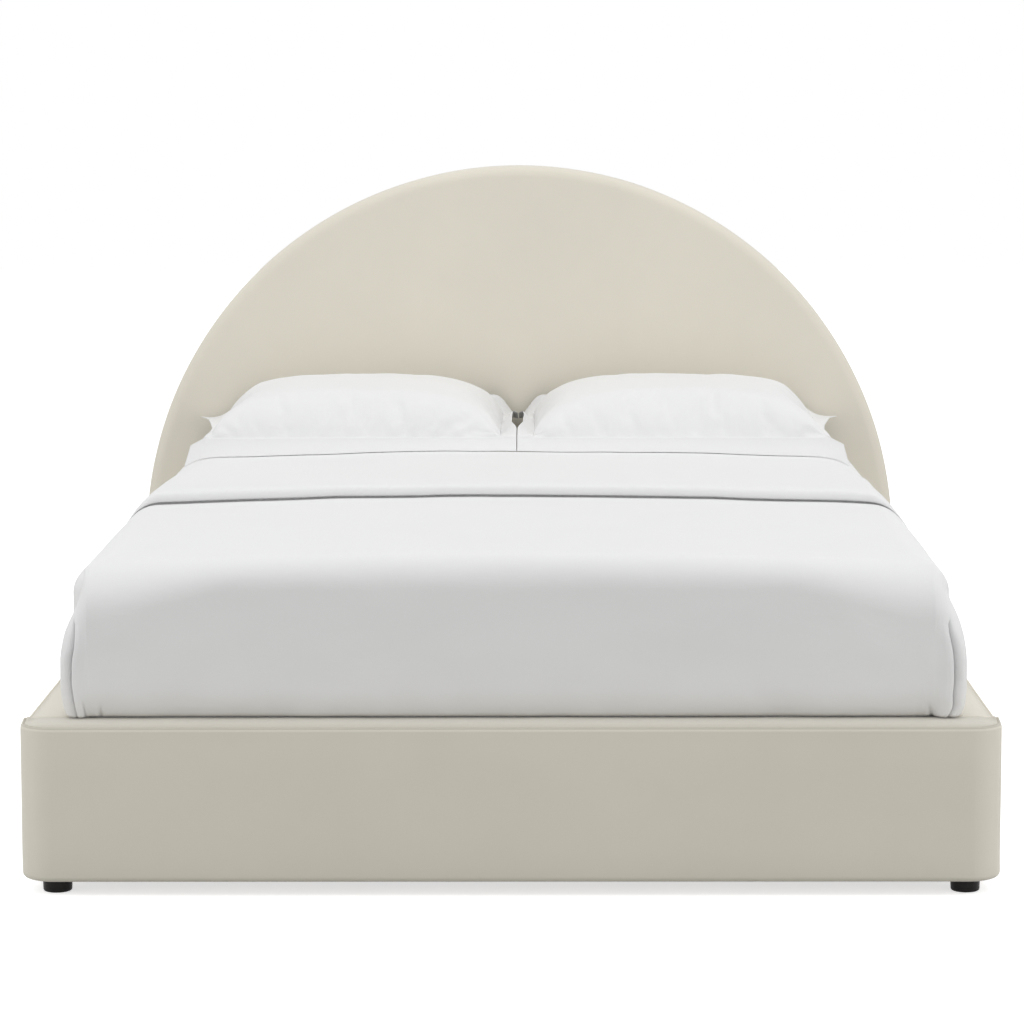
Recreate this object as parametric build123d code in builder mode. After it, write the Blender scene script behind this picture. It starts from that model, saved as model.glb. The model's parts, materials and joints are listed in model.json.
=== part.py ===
"""Upholstered platform bed with a half-round headboard, made up with a mattress, duvet and two pillows.

Millimetres. +Z is up, +Y runs from the foot of the bed to the headboard, and left and right
are as seen from the foot. The origin is on the floor, under the middle of the bed.
"""

import os

from build123d import *

# Mattress, and the recess that it lies in
mattress_width = 1524.0
mattress_length = 2032.0
mattress_height = 305.0
mattress_corner_radius = 60.0
mattress_edge_radius = 45.0
ticking_thickness = 3.0
side_gap = 5.0
end_gap = 5.0
recess_depth = 47.0

# Upholstered rails
side_rail_thickness = 78.0
foot_rail_depth = 95.0
rail_height = 271.0
foot_rail_overhang = 5.0
foot_rail_corner_radius = 60.0
rail_top_radius = 8.0
rail_bottom_radius = 15.0
rail_inner_radius = 4.0
cover_thickness = 1.5
cover_return = 30.0
rail_foam = 12.0
rail_board = 12.0
bent_board = 9.0
bottom_board = 18.0
board_chamfer = 4.0

# Headboard
headboard_overhang = 15.0
headboard_thickness = 95.0
headboard_edge_radius = 25.0
arch_centre_z = 348.0
headboard_foam = 25.0
headboard_edge_foam = 12.0
headboard_board = 12.0
headboard_return = 35.0
back_cloth = 1.0
back_cloth_gap = 1.0
rim_width = 60.0
sill_height = 45.0
lower_rail_margin = 15.0
upper_rail_z = 700.0
upper_rail_height = 60.0
stile_width = 45.0
stile_x = 280.0

# Feet
foot_height = 26.0
foot_top_radius = 26.0
foot_sole_radius = 25.0
foot_edge_radius = 4.0
foot_setback = 60.0
foot_screw_radius = 3.0
foot_screw_length = 32.0
foot_recess_radius = 8.0
foot_recess_depth = 8.0

# Slats, ledgers and centre support
slat_count = 13
slat_width = 70.0
slat_thickness = 20.0
slat_end_gap = 9.0
slat_margin = 45.0
strap_width = 25.0
strap_thickness = 1.0
strap_x = 500.0
ledger_width = 30.0
ledger_height = 35.0
ledger_end_gap = 1.0
beam_width = 40.0
beam_height = 30.0
beam_wall = 2.0
saddle_plate = 3.0
saddle_plate_width = 70.0
saddle_plate_height = 60.0
saddle_reach = 30.0
saddle_wall = 2.5
saddle_top_drop = 5.0
saddle_screw_x = 29.0
saddle_screw_spacing = 30.0
beam_end_gap = 1.0
fit_gap = 0.2
leg_radius = 19.0
leg_wall = 1.5
leg_spacing = 640.0
leg_plate_length = 80.0
leg_plate = 3.0
insert_height = 25.0
insert_lip = 3.0
stud_radius = 5.0
stud_length = 32.0
stud_clearance = 0.05
glide_radius = 21.0
glide_height = 9.0
glide_edge_radius = 3.0
glide_gap = 0.3

# Corner brackets and fasteners
bracket_leg = 50.0
bracket_thickness = 4.0
bracket_height = 80.0
bracket_ledger_gap = 10.0
bracket_bolt_spacing = 40.0
bolt_radius = 4.0
bolt_head_radius = 7.5
bolt_head_height = 5.3
nut_barrel_radius = 5.5
nut_barrel_length = 9.0
nut_flange_radius = 11.0
nut_flange = 1.5
nut_recess = 2.0
hole_clearance = 0.25
screw_radius = 2.2
screw_head_radius = 4.5
screw_head_height = 3.0
board_screw_length = 14.0
ledger_screw_length = 40.0
ledger_screw_count = 6
plate_screw_length = 6.0
screw_fit = 0.05

# Bedding
sheet_thickness = 0.8
sheet_hem = 120.0
bedding_gap = 0.4
duvet_hem_gap = 1.5
duvet_hem_bulge = 12.0
duvet_side_bulge = 31.0
duvet_shoulder_radius = 95.0
duvet_edge_loft = 16.0
duvet_crown_loft = 34.0
duvet_corner_radius = 60.0
turnback_width = 595.0
turnback_head_gap = 557.0
turnback_loft = 24.0
turnback_side_loft = 7.0
turnback_hem_radius = 6.0
turnback_fold_radius = 12.0
pleat_width = 3.0
pleat_depth = 26.0
pleat_inset = 4.0
pleat_top_drop = 48.0
pillow_width = 640.0
pillow_depth = 500.0
pillow_crown = 116.0
pillow_belly = 76.0
pillow_end_crown = 6.0
pillow_draw_in = 14.0
pillow_flange = 42.0
pillow_flange_thickness = 2.0
pillow_flange_radius = 14.0
pillow_middle_gap = 10.0
pillow_head_gap = 15.0
sham_thickness = 1.2
insert_gap = 0.3

# Shares of the pillow's half width at which its cross-sections stand, and how full it is there
pillow_station_shares = (-1.0, -0.86, -0.65, -0.35, 0.0, 0.35, 0.65, 0.86, 1.0)
pillow_fullness_shares = (0.0, 0.5, 0.82, 0.97, 1.0, 0.97, 0.82, 0.5, 0.0)

overrun = 5.0

# Places that follow from the sizes above
recess_half_width = mattress_width / 2 + side_gap
side_rail_outer_x = recess_half_width + side_rail_thickness
recess_length = mattress_length + 2 * end_gap
overall_length = foot_rail_depth + recess_length + headboard_thickness
foot_face_y = -overall_length / 2
recess_foot_y = foot_face_y + foot_rail_depth
headboard_front_y = recess_foot_y + recess_length
headboard_back_y = headboard_front_y + headboard_thickness
foot_rail_half_width = side_rail_outer_x + foot_rail_overhang
headboard_radius = side_rail_outer_x + headboard_overhang
rail_bottom_z = foot_height
rail_top_z = rail_bottom_z + rail_height
carcass_bottom_z = rail_bottom_z + cover_thickness
carcass_top_z = rail_top_z - cover_thickness - rail_foam
slat_top_z = rail_top_z - recess_depth
ledger_top_z = slat_top_z - slat_thickness
beam_bottom_z = ledger_top_z - beam_height
bracket_top_z = ledger_top_z - ledger_height - bracket_ledger_gap
bracket_z = bracket_top_z - bracket_height
upholstery = cover_thickness + rail_foam
board_front_y = headboard_front_y + cover_thickness + headboard_foam
frame_front_y = board_front_y + headboard_board
frame_back_y = headboard_back_y - cover_thickness
rim_outer = headboard_radius - cover_thickness - headboard_edge_foam
rim_inner = rim_outer - rim_width
mattress_bottom_z = slat_top_z + sheet_thickness
mattress_top_z = mattress_bottom_z + mattress_height
mattress_foot_y = recess_foot_y + end_gap
front_foot_x = foot_rail_half_width - foot_setback
front_foot_y = foot_face_y + foot_setback
rear_foot_x = (rim_outer + rim_inner) / 2
rear_foot_y = (frame_front_y + frame_back_y) / 2
feet = {
    "foot_front_left": (-front_foot_x, front_foot_y),
    "foot_front_right": (front_foot_x, front_foot_y),
    "foot_rear_left": (-rear_foot_x, rear_foot_y),
    "foot_rear_right": (rear_foot_x, rear_foot_y),
}

os.makedirs("parts", exist_ok=True)


def save(part, name):
    """Writes one finished piece under its own name."""
    part.label = name
    export_step(part, f"parts/{name}.step")


def save_pair(part, pattern):
    """Writes a right-hand piece and its mirror image as the left-hand one."""
    with BuildPart() as left:
        mirror(part, about=Plane.YZ)
    save(part, pattern.format("right"))
    save(left.part, pattern.format("left"))


def upright(y):
    """Vertical plane across the bed at y, facing the foot."""
    return Plane.XZ.offset(-y)


def block(x, y, z, mode=Mode.ADD):
    """Rectangular block between two values on each axis."""
    with Locations(((x[0] + x[1]) / 2, (y[0] + y[1]) / 2, (z[0] + z[1]) / 2)):
        Box(abs(x[1] - x[0]), abs(y[1] - y[0]), abs(z[1] - z[0]), mode=mode)


def pin(place, radius, length, mode=Mode.ADD):
    """Round bar from a plane's origin along its normal, or against it where the length is negative."""
    with BuildSketch(place) as outline:
        Circle(radius)
    extrude(outline.sketch, amount=length, mode=mode)


def round_hole(place, radius, depth):
    """Round hole from a plane's origin along its normal."""
    pin(place, radius, depth, Mode.SUBTRACT)


def screw(place, length):
    """Pan-head screw: the head stands behind the plane and the shank runs along its normal."""
    pin(place, screw_head_radius, -screw_head_height)
    pin(place, screw_radius, length)


def foot_screw_holes(radius):
    """Upright holes for the screws of all four feet."""
    for x, y in feet.values():
        round_hole(Plane(origin=(x, y, 0)), radius, foot_recess_depth + foot_screw_length)


def rail_section(inset):
    """Cross-section of the right side rail at the foot end, inset from its upholstered outside."""
    with BuildSketch(upright(recess_foot_y)) as section:
        with Locations(((recess_half_width + side_rail_outer_x) / 2, rail_bottom_z + rail_height / 2)):
            Rectangle(side_rail_thickness - 2 * inset, rail_height - 2 * inset)
        inner, outer = section.vertices().group_by(Axis.X)
        fillet(outer.sort_by(Axis.Y)[-1], rail_top_radius - inset)
        fillet(outer.sort_by(Axis.Y)[0], rail_bottom_radius - inset)
        fillet(inner, rail_inner_radius - inset)
    return section.sketch


# Bracket bolts, shared by the brackets, the headboard, the foot rail and the nuts
bolt_x = recess_half_width - bracket_leg / 2
bracket_middle_z = bracket_z + bracket_height / 2
bolt_heights = (bracket_middle_z - bracket_bolt_spacing / 2, bracket_middle_z + bracket_bolt_spacing / 2)
bolt_points = [(x, z) for x in (-bolt_x, bolt_x) for z in bolt_heights]


def head_bolt_planes(y):
    """Planes at the headboard bolts, facing the head end."""
    return [Plane(origin=(x, y, z), z_dir=(0, 1, 0)) for x, z in bolt_points]


def foot_bolt_planes(y):
    """Planes at the foot rail bolts, facing the foot end."""
    return [Plane(origin=(x, y, z), z_dir=(0, -1, 0)) for x, z in bolt_points]


# Screws through a bracket into a side rail, and through a ledger into it
bracket_screw_planes = [
    Plane(origin=(recess_half_width - bracket_thickness, y, z), z_dir=(1, 0, 0))
    for y in (recess_foot_y + bracket_leg / 2, headboard_front_y - bracket_leg / 2)
    for z in bolt_heights
]
ledger_screw_pitch = (recess_length - 2 * bracket_leg) / (ledger_screw_count - 1)
ledger_screw_planes = [
    Plane(
        origin=(
            recess_half_width - ledger_width,
            recess_foot_y + bracket_leg + i * ledger_screw_pitch,
            ledger_top_z - ledger_height / 2,
        ),
        z_dir=(1, 0, 0),
    )
    for i in range(ledger_screw_count)
]

# Screws through a saddle's plate into the foot rail, and into the headboard
saddle_screw_points = [
    (x, ledger_top_z - saddle_plate_height / 2 + side * saddle_screw_spacing / 2)
    for x in (-saddle_screw_x, saddle_screw_x)
    for side in (-1, 1)
]
foot_saddle_screw_planes = [
    Plane(origin=(x, recess_foot_y + saddle_plate, z), z_dir=(0, -1, 0)) for x, z in saddle_screw_points
]
head_saddle_screw_planes = [
    Plane(origin=(x, headboard_front_y - saddle_plate, z), z_dir=(0, 1, 0)) for x, z in saddle_screw_points
]


def board_screw_holes(planes):
    """Holes that the short screws fill."""
    for place in planes:
        round_hole(place, screw_radius + screw_fit, board_screw_length + overrun)


# Side rails: a box of boards, foam over its outside and top, and the fabric cover
board_outer_x = side_rail_outer_x - upholstery
board_inner_x = recess_half_width + cover_thickness
rail_run = (recess_foot_y, headboard_front_y)

with BuildPart() as side_cover:
    extrude(rail_section(0), amount=-recess_length)
    extrude(rail_section(cover_thickness), amount=-recess_length, mode=Mode.SUBTRACT)
    block(
        (recess_half_width + cover_return, side_rail_outer_x - cover_return),
        rail_run,
        (rail_bottom_z - overrun, carcass_bottom_z),
        mode=Mode.SUBTRACT,
    )
    for place in bracket_screw_planes + ledger_screw_planes:
        round_hole(place, screw_radius + screw_fit, ledger_screw_length)
save_pair(side_cover.part, "side_rail_{}_cover")

with BuildPart() as side_foam:
    extrude(rail_section(cover_thickness), amount=-recess_length)
    block(
        (board_inner_x - overrun, board_outer_x),
        rail_run,
        (rail_bottom_z - overrun, carcass_top_z),
        mode=Mode.SUBTRACT,
    )
save_pair(side_foam.part, "side_rail_{}_foam")

with BuildPart() as side_outer_board:
    block((board_outer_x - rail_board, board_outer_x), rail_run, (carcass_bottom_z, carcass_top_z))
    outer_face = side_outer_board.faces().sort_by(Axis.X)[-1]
    chamfer(outer_face.edges().sort_by(Axis.Z)[0], board_chamfer)
save_pair(side_outer_board.part, "side_rail_{}_outer_board")

with BuildPart() as side_inner_board:
    block((board_inner_x, board_inner_x + rail_board), rail_run, (carcass_bottom_z, carcass_top_z))
    inner_face = side_inner_board.faces().sort_by(Axis.X)[0]
    chamfer(inner_face.edges().sort_by(Axis.Z)[0], board_chamfer)
    for place in bracket_screw_planes + ledger_screw_planes:
        round_hole(place, screw_radius + screw_fit, ledger_screw_length + overrun)
save_pair(side_inner_board.part, "side_rail_{}_inner_board")

rail_cavity = (board_inner_x + rail_board, board_outer_x - rail_board)
with BuildPart() as side_top_board:
    block(rail_cavity, rail_run, (carcass_top_z - rail_board, carcass_top_z))
save_pair(side_top_board.part, "side_rail_{}_top_board")

with BuildPart() as side_bottom_board:
    block(rail_cavity, rail_run, (carcass_bottom_z, carcass_bottom_z + bottom_board))
save_pair(side_bottom_board.part, "side_rail_{}_bottom_board")

with BuildPart() as ledger:
    block(
        (recess_half_width - ledger_width, recess_half_width),
        (recess_foot_y + ledger_end_gap, headboard_front_y - ledger_end_gap),
        (ledger_top_z - ledger_height, ledger_top_z),
    )
    for place in ledger_screw_planes:
        round_hole(place, screw_radius + screw_fit, ledger_width + overrun)
        round_hole(place, screw_head_radius + screw_fit, screw_head_height)
save_pair(ledger.part, "side_rail_{}_ledger")


# Foot rail: full width, with rounded front corners, built as the side rails are
def foot_outline(front, back, z):
    """Plan of the foot rail, inset from its front and ends by front, and from its back by back."""
    with BuildSketch(Plane.XY.offset(z)) as plan:
        depth = foot_rail_depth - front - back
        with Locations((0, foot_face_y + front + depth / 2)):
            Rectangle(2 * (foot_rail_half_width - front), depth)
        fillet(plan.vertices().group_by(Axis.Y)[0], foot_rail_corner_radius - front)
    return plan.sketch


def foot_envelope(inset):
    """The foot rail's upholstered form, inset on every side."""
    with BuildPart() as form:
        extrude(foot_outline(inset, inset, rail_bottom_z + inset), amount=rail_height - 2 * inset)
        for face, radius in (
            (form.faces().sort_by(Axis.Z)[-1], rail_top_radius),
            (form.faces().sort_by(Axis.Z)[0], rail_bottom_radius),
        ):
            fillet(face.edges().sort_by(Axis.Y)[:-1], radius - inset)
    return form.part


def foot_carcass(front, back, low, high):
    """Upright prism on the foot rail's plan, between two heights."""
    with BuildPart() as prism:
        extrude(foot_outline(front, back, low), amount=high - low)
    return prism.part


with BuildPart() as foot_cover:
    add(foot_envelope(0))
    add(foot_envelope(cover_thickness), mode=Mode.SUBTRACT)
    opening_x = front_foot_x - foot_setback
    block(
        (-opening_x, opening_x),
        (foot_face_y + cover_return, recess_foot_y - cover_return),
        (rail_bottom_z - overrun, carcass_bottom_z),
        mode=Mode.SUBTRACT,
    )
    foot_screw_holes(foot_screw_radius + hole_clearance)
    board_screw_holes(foot_saddle_screw_planes)
    for place in foot_bolt_planes(recess_foot_y):
        round_hole(place, bolt_radius + hole_clearance, cover_thickness + overrun)
save(foot_cover.part, "foot_rail_cover")

foot_boards = (carcass_bottom_z, carcass_top_z)
with BuildPart() as foot_foam:
    add(foot_envelope(cover_thickness))
    add(
        foot_carcass(upholstery, -overrun, rail_bottom_z - overrun, carcass_top_z),
        mode=Mode.SUBTRACT,
    )
save(foot_foam.part, "foot_rail_foam")

with BuildPart() as foot_outer_board:
    add(foot_carcass(upholstery, cover_thickness, *foot_boards))
    add(
        foot_carcass(upholstery + bent_board, -overrun, carcass_bottom_z - overrun, carcass_top_z + overrun),
        mode=Mode.SUBTRACT,
    )
    rim = foot_outer_board.faces().sort_by(Axis.Z)[0].outer_wire().edges()
    reach = foot_rail_half_width - upholstery - foot_rail_corner_radius
    outer_edges = [
        e for e in rim if abs(e.center().X) > reach or e.center().Y < foot_face_y + 2 * upholstery
    ]
    chamfer(outer_edges, board_chamfer)
save(foot_outer_board.part, "foot_rail_outer_board")

foot_inner_half = foot_rail_half_width - upholstery - bent_board
inner_board_back_y = recess_foot_y - cover_thickness
inner_board_front_y = inner_board_back_y - rail_board
with BuildPart() as foot_inner_board:
    block((-foot_inner_half, foot_inner_half), (inner_board_front_y, inner_board_back_y), foot_boards)
    for place in foot_bolt_planes(recess_foot_y):
        round_hole(place, nut_barrel_radius + hole_clearance, foot_rail_depth / 2)
    board_screw_holes(foot_saddle_screw_planes)
save(foot_inner_board.part, "foot_rail_inner_board")

foot_shelf = (upholstery + bent_board, cover_thickness + rail_board)
with BuildPart() as foot_top_board:
    add(foot_carcass(*foot_shelf, carcass_top_z - rail_board, carcass_top_z))
save(foot_top_board.part, "foot_rail_top_board")

with BuildPart() as foot_bottom_board:
    add(foot_carcass(*foot_shelf, carcass_bottom_z, carcass_bottom_z + bottom_board))
    foot_screw_holes(foot_screw_radius + screw_fit)
save(foot_bottom_board.part, "foot_rail_bottom_board")


# Headboard
def arch_outline(y, edge, bottom):
    """Half-round outline across the bed at y, inset by edge round the arch and by bottom below."""
    radius = headboard_radius - edge
    low = rail_bottom_z + bottom
    with BuildSketch(upright(y)) as outline:
        with BuildLine():
            Polyline((-radius, arch_centre_z), (-radius, low), (radius, low), (radius, arch_centre_z))
            ThreePointArc((radius, arch_centre_z), (0, arch_centre_z + radius), (-radius, arch_centre_z))
        make_face()
    return outline.sketch


def arch_slab(front, back, edge, bottom):
    """Half-round slab between two values of y."""
    with BuildPart() as slab:
        extrude(arch_outline(front, edge, bottom), amount=front - back)
    return slab.part


def headboard_envelope(inset):
    """The headboard's upholstered form, inset on every side, with its front edge rounded."""
    with BuildPart() as form:
        add(arch_slab(headboard_front_y + inset, headboard_back_y - inset, inset, inset))
        front_edges = form.faces().sort_by(Axis.Y)[0].edges().sort_by(Axis.Z)[1:]
        fillet(front_edges, headboard_edge_radius - inset)
    return form.part


with BuildPart() as headboard_cover:
    add(headboard_envelope(0))
    add(headboard_envelope(cover_thickness), mode=Mode.SUBTRACT)
    add(
        arch_slab(frame_back_y, headboard_back_y + overrun, headboard_return, headboard_return),
        mode=Mode.SUBTRACT,
    )
    for place in head_bolt_planes(headboard_front_y):
        round_hole(place, bolt_radius + hole_clearance, cover_thickness + overrun)
    foot_screw_holes(foot_screw_radius + hole_clearance)
    board_screw_holes(head_saddle_screw_planes)
save(headboard_cover.part, "headboard_cover")

base_half_width = headboard_radius - headboard_edge_radius
base_run = (headboard_front_y + cover_thickness, board_front_y)
with BuildPart() as headboard_foam_pad:
    add(headboard_envelope(cover_thickness))
    add(
        arch_slab(
            board_front_y,
            headboard_back_y + overrun,
            cover_thickness + headboard_edge_foam,
            -overrun,
        ),
        mode=Mode.SUBTRACT,
    )
    block(
        (-base_half_width, base_half_width),
        (headboard_front_y - overrun, board_front_y + overrun),
        (rail_bottom_z - overrun, slat_top_z),
        mode=Mode.SUBTRACT,
    )
save(headboard_foam_pad.part, "headboard_foam")

with BuildPart() as headboard_base_board:
    block((-base_half_width, base_half_width), base_run, (carcass_bottom_z, slat_top_z))
    for place in head_bolt_planes(headboard_front_y):
        round_hole(place, bolt_radius + hole_clearance, headboard_thickness)
    board_screw_holes(head_saddle_screw_planes)
save(headboard_base_board.part, "headboard_base_board")

board_edge = cover_thickness + headboard_edge_foam
with BuildPart() as headboard_front_board:
    add(arch_slab(board_front_y, frame_front_y, board_edge, cover_thickness))
    for place in head_bolt_planes(headboard_front_y):
        round_hole(place, bolt_radius + hole_clearance, headboard_thickness)
save(headboard_front_board.part, "headboard_front_board")

with BuildPart() as headboard_rim:
    add(arch_slab(frame_front_y, frame_back_y, board_edge, cover_thickness))
    add(
        arch_slab(frame_front_y - overrun, frame_back_y + overrun, board_edge + rim_width, -overrun),
        mode=Mode.SUBTRACT,
    )
    foot_screw_holes(foot_screw_radius + screw_fit)
save(headboard_rim.part, "headboard_arch_rim")

frame_run = (frame_front_y, frame_back_y)
with BuildPart() as headboard_sill:
    block((-rim_inner, rim_inner), frame_run, (carcass_bottom_z, carcass_bottom_z + sill_height))
save(headboard_sill.part, "headboard_sill")

lower_rail_top_z = bracket_top_z + lower_rail_margin
with BuildPart() as headboard_lower_rail:
    block((-rim_inner, rim_inner), frame_run, (bracket_z - lower_rail_margin, lower_rail_top_z))
    for place in head_bolt_planes(headboard_front_y):
        round_hole(place, bolt_radius + hole_clearance, headboard_thickness)
    for place in head_bolt_planes(frame_back_y - nut_recess):
        round_hole(place, nut_flange_radius + hole_clearance, nut_recess + overrun)
    for place in head_bolt_planes(frame_back_y - nut_recess - nut_barrel_length):
        round_hole(place, nut_barrel_radius + hole_clearance, nut_barrel_length)
save(headboard_lower_rail.part, "headboard_lower_rail")

inside_arch = arch_slab(frame_front_y, frame_back_y, board_edge + rim_width, cover_thickness)
with BuildPart() as headboard_stiles:
    for x in (-stile_x, stile_x):
        block(
            (x - stile_width / 2, x + stile_width / 2),
            frame_run,
            (lower_rail_top_z, arch_centre_z + headboard_radius),
        )
    add(inside_arch, mode=Mode.INTERSECT)
save(headboard_stiles.part, "headboard_stiles")

with BuildPart() as headboard_upper_rails:
    stile_inner = stile_x - stile_width / 2
    stile_outer = stile_x + stile_width / 2
    for x in ((-rim_outer, -stile_outer), (-stile_inner, stile_inner), (stile_outer, rim_outer)):
        block(x, frame_run, (upper_rail_z, upper_rail_z + upper_rail_height))
    add(inside_arch, mode=Mode.INTERSECT)
save(headboard_upper_rails.part, "headboard_upper_rails")

with BuildPart() as headboard_back_cloth:
    cloth_edge = headboard_return + back_cloth_gap
    add(arch_slab(frame_back_y, frame_back_y + back_cloth, cloth_edge, cloth_edge))
save(headboard_back_cloth.part, "headboard_back_cloth")

# Feet and their screws
for name, (x, y) in feet.items():
    with BuildPart() as foot:
        with Locations((x, y, foot_height / 2)):
            Cone(foot_sole_radius, foot_top_radius, foot_height)
        fillet(foot.edges().group_by(Axis.Z)[0], foot_edge_radius)
        round_hole(Plane(origin=(x, y, 0)), foot_screw_radius + hole_clearance, foot_height + overrun)
        round_hole(Plane(origin=(x, y, 0)), foot_recess_radius, foot_recess_depth)
    save(foot.part, name)

with BuildPart() as foot_screws:
    for x, y in feet.values():
        pin(Plane(origin=(x, y, foot_recess_depth)), foot_recess_radius - fit_gap, -foot_recess_depth / 2)
        pin(Plane(origin=(x, y, foot_recess_depth)), foot_screw_radius, foot_screw_length)
save(foot_screws.part, "foot_screws")

# Corner brackets: one leg on the end piece, one on the side rail, under the ledger
with BuildPart() as corner_brackets:
    for end_y, inward in ((recess_foot_y, 1), (headboard_front_y, -1)):
        inner_x = recess_half_width - bracket_thickness
        inner_y = end_y + inward * bracket_thickness
        height = (bracket_z, bracket_top_z)
        block((recess_half_width - bracket_leg, recess_half_width), (end_y, inner_y), height)
        block((inner_x, recess_half_width), (end_y, end_y + inward * bracket_leg), height)
        uprights = corner_brackets.edges().filter_by(Axis.Z)
        fillet(uprights.sort_by_distance((inner_x, inner_y, bracket_middle_z))[0], bracket_thickness)
        for z in bolt_heights:
            place = Plane(origin=(bolt_x, inner_y, z), z_dir=(0, -inward, 0))
            round_hole(place, bolt_radius + hole_clearance, bracket_thickness)
    for place in bracket_screw_planes:
        round_hole(place, screw_radius + hole_clearance, bracket_thickness)
    mirror(about=Plane.YZ)
save(corner_brackets.part, "corner_brackets")

head_bolt_length = frame_back_y - nut_recess - headboard_front_y + bracket_thickness
foot_bolt_length = bracket_thickness + cover_thickness + rail_board + nut_flange
with BuildPart() as bracket_bolts:
    for planes, length in (
        (head_bolt_planes(headboard_front_y - bracket_thickness), head_bolt_length),
        (foot_bolt_planes(recess_foot_y + bracket_thickness), foot_bolt_length),
    ):
        for place in planes:
            with BuildSketch(place):
                RegularPolygon(bolt_head_radius, 6)
            extrude(amount=-bolt_head_height)
            pin(place, bolt_radius, length)
save(bracket_bolts.part, "bracket_bolts")

with BuildPart() as bracket_nuts:
    for place in head_bolt_planes(frame_back_y - nut_recess) + foot_bolt_planes(inner_board_front_y):
        pin(place, nut_flange_radius, nut_flange)
        pin(place, nut_barrel_radius, -nut_barrel_length)
        round_hole(place, bolt_radius + screw_fit, nut_flange)
        round_hole(place, bolt_radius + screw_fit, -nut_barrel_length)
save(bracket_nuts.part, "bracket_nuts")

with BuildPart() as wood_screws:
    for place in bracket_screw_planes:
        screw(place, board_screw_length)
    for place in ledger_screw_planes:
        pin(place, screw_head_radius, screw_head_height)
        pin(place, screw_radius, ledger_screw_length)
    mirror(about=Plane.YZ)
    for place in foot_saddle_screw_planes + head_saddle_screw_planes:
        screw(place, board_screw_length)
save(wood_screws.part, "wood_screws")

# Slats, joined by two straps
slat_pitch = (recess_length - 2 * slat_margin) / (slat_count - 1)
slat_half_length = recess_half_width - slat_end_gap
first_slat_y = recess_foot_y + slat_margin
with BuildPart() as slats:
    for i in range(slat_count):
        y = first_slat_y + i * slat_pitch
        block(
            (-slat_half_length, slat_half_length),
            (y - slat_width / 2, y + slat_width / 2),
            (ledger_top_z, slat_top_z),
        )
save(slats.part, "slats")

with BuildPart() as slat_straps:
    block(
        (strap_x, strap_x + strap_width),
        (first_slat_y, first_slat_y + (slat_count - 1) * slat_pitch),
        (ledger_top_z - strap_thickness, ledger_top_z),
    )
    mirror(about=Plane.YZ)
save(slat_straps.part, "slat_straps")

# Centre support: a steel tube on two saddles and three legs with levelling glides
beam_inset = saddle_plate + beam_end_gap
with BuildPart() as centre_beam:
    beam_run = (recess_foot_y + beam_inset, headboard_front_y - beam_inset)
    block((-beam_width / 2, beam_width / 2), beam_run, (beam_bottom_z, ledger_top_z))
    hollow = beam_width / 2 - beam_wall
    block(
        (-hollow, hollow),
        (beam_run[0] - overrun, beam_run[1] + overrun),
        (beam_bottom_z + beam_wall, ledger_top_z - beam_wall),
        mode=Mode.SUBTRACT,
    )
    leg_ys = [i * leg_spacing for i in (-1, 0, 1)]
    plate_screw_reach = leg_plate_length / 2 - 2 * screw_head_radius
    plate_screw_planes = [
        Plane(origin=(0, y + side * plate_screw_reach, beam_bottom_z - leg_plate))
        for y in leg_ys
        for side in (-1, 1)
    ]
    for place in plate_screw_planes:
        round_hole(place, screw_radius + screw_fit, plate_screw_length + overrun)
save(centre_beam.part, "centre_beam")


def saddle(end_y, inward):
    """Steel saddle that carries one end of the centre beam, open at the top."""
    inside = beam_width / 2 + fit_gap
    outside = inside + saddle_wall
    floor_z = beam_bottom_z - fit_gap
    with BuildPart() as holder:
        block(
            (-saddle_plate_width / 2, saddle_plate_width / 2),
            (end_y, end_y + inward * saddle_plate),
            (ledger_top_z - saddle_plate_height, ledger_top_z),
        )
        reach = (end_y, end_y + inward * (saddle_plate + saddle_reach))
        block((-outside, outside), reach, (floor_z - saddle_wall, ledger_top_z - saddle_top_drop))
        block(
            (-inside, inside),
            (end_y + inward * saddle_plate, end_y + inward * (saddle_plate + saddle_reach + overrun)),
            (floor_z, ledger_top_z + overrun),
            mode=Mode.SUBTRACT,
        )
        for x, z in saddle_screw_points:
            place = Plane(origin=(x, end_y + inward * saddle_plate, z), z_dir=(0, -inward, 0))
            round_hole(place, screw_radius + hole_clearance, saddle_plate)
    return holder.part


save(saddle(recess_foot_y, 1), "centre_saddle_foot")
save(saddle(headboard_front_y, -1), "centre_saddle_head")

glide_top_z = glide_height
insert_bottom_z = glide_top_z + glide_gap
leg_bottom_z = insert_bottom_z + insert_lip
leg_top_z = beam_bottom_z - leg_plate
for y, name in zip(leg_ys, ("foot", "middle", "head")):
    with BuildPart() as leg:
        pin(Plane(origin=(0, y, leg_bottom_z)), leg_radius, leg_top_z - leg_bottom_z)
        block(
            (-leg_radius, leg_radius),
            (y - leg_plate_length / 2, y + leg_plate_length / 2),
            (leg_top_z, beam_bottom_z),
        )
        round_hole(Plane(origin=(0, y, leg_bottom_z)), leg_radius - leg_wall, leg_top_z - leg_bottom_z)
        for place in plate_screw_planes:
            round_hole(place, screw_radius + hole_clearance, leg_plate)
    save(leg.part, f"centre_leg_{name}")

    with BuildPart() as leveller:
        pin(Plane(origin=(0, y, 0)), glide_radius, glide_height)
        fillet(leveller.edges().group_by(Axis.Z)[0], glide_edge_radius)
        pin(Plane(origin=(0, y, glide_height)), stud_radius, stud_length)
    save(leveller.part, f"leveller_{name}")

with BuildPart() as leg_inserts:
    for y in leg_ys:
        pin(Plane(origin=(0, y, insert_bottom_z)), leg_radius, insert_lip)
        pin(Plane(origin=(0, y, leg_bottom_z)), leg_radius - leg_wall - fit_gap, insert_height)
        round_hole(
            Plane(origin=(0, y, insert_bottom_z)),
            stud_radius + stud_clearance,
            insert_lip + insert_height,
        )
save(leg_inserts.part, "leg_inserts")

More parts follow.
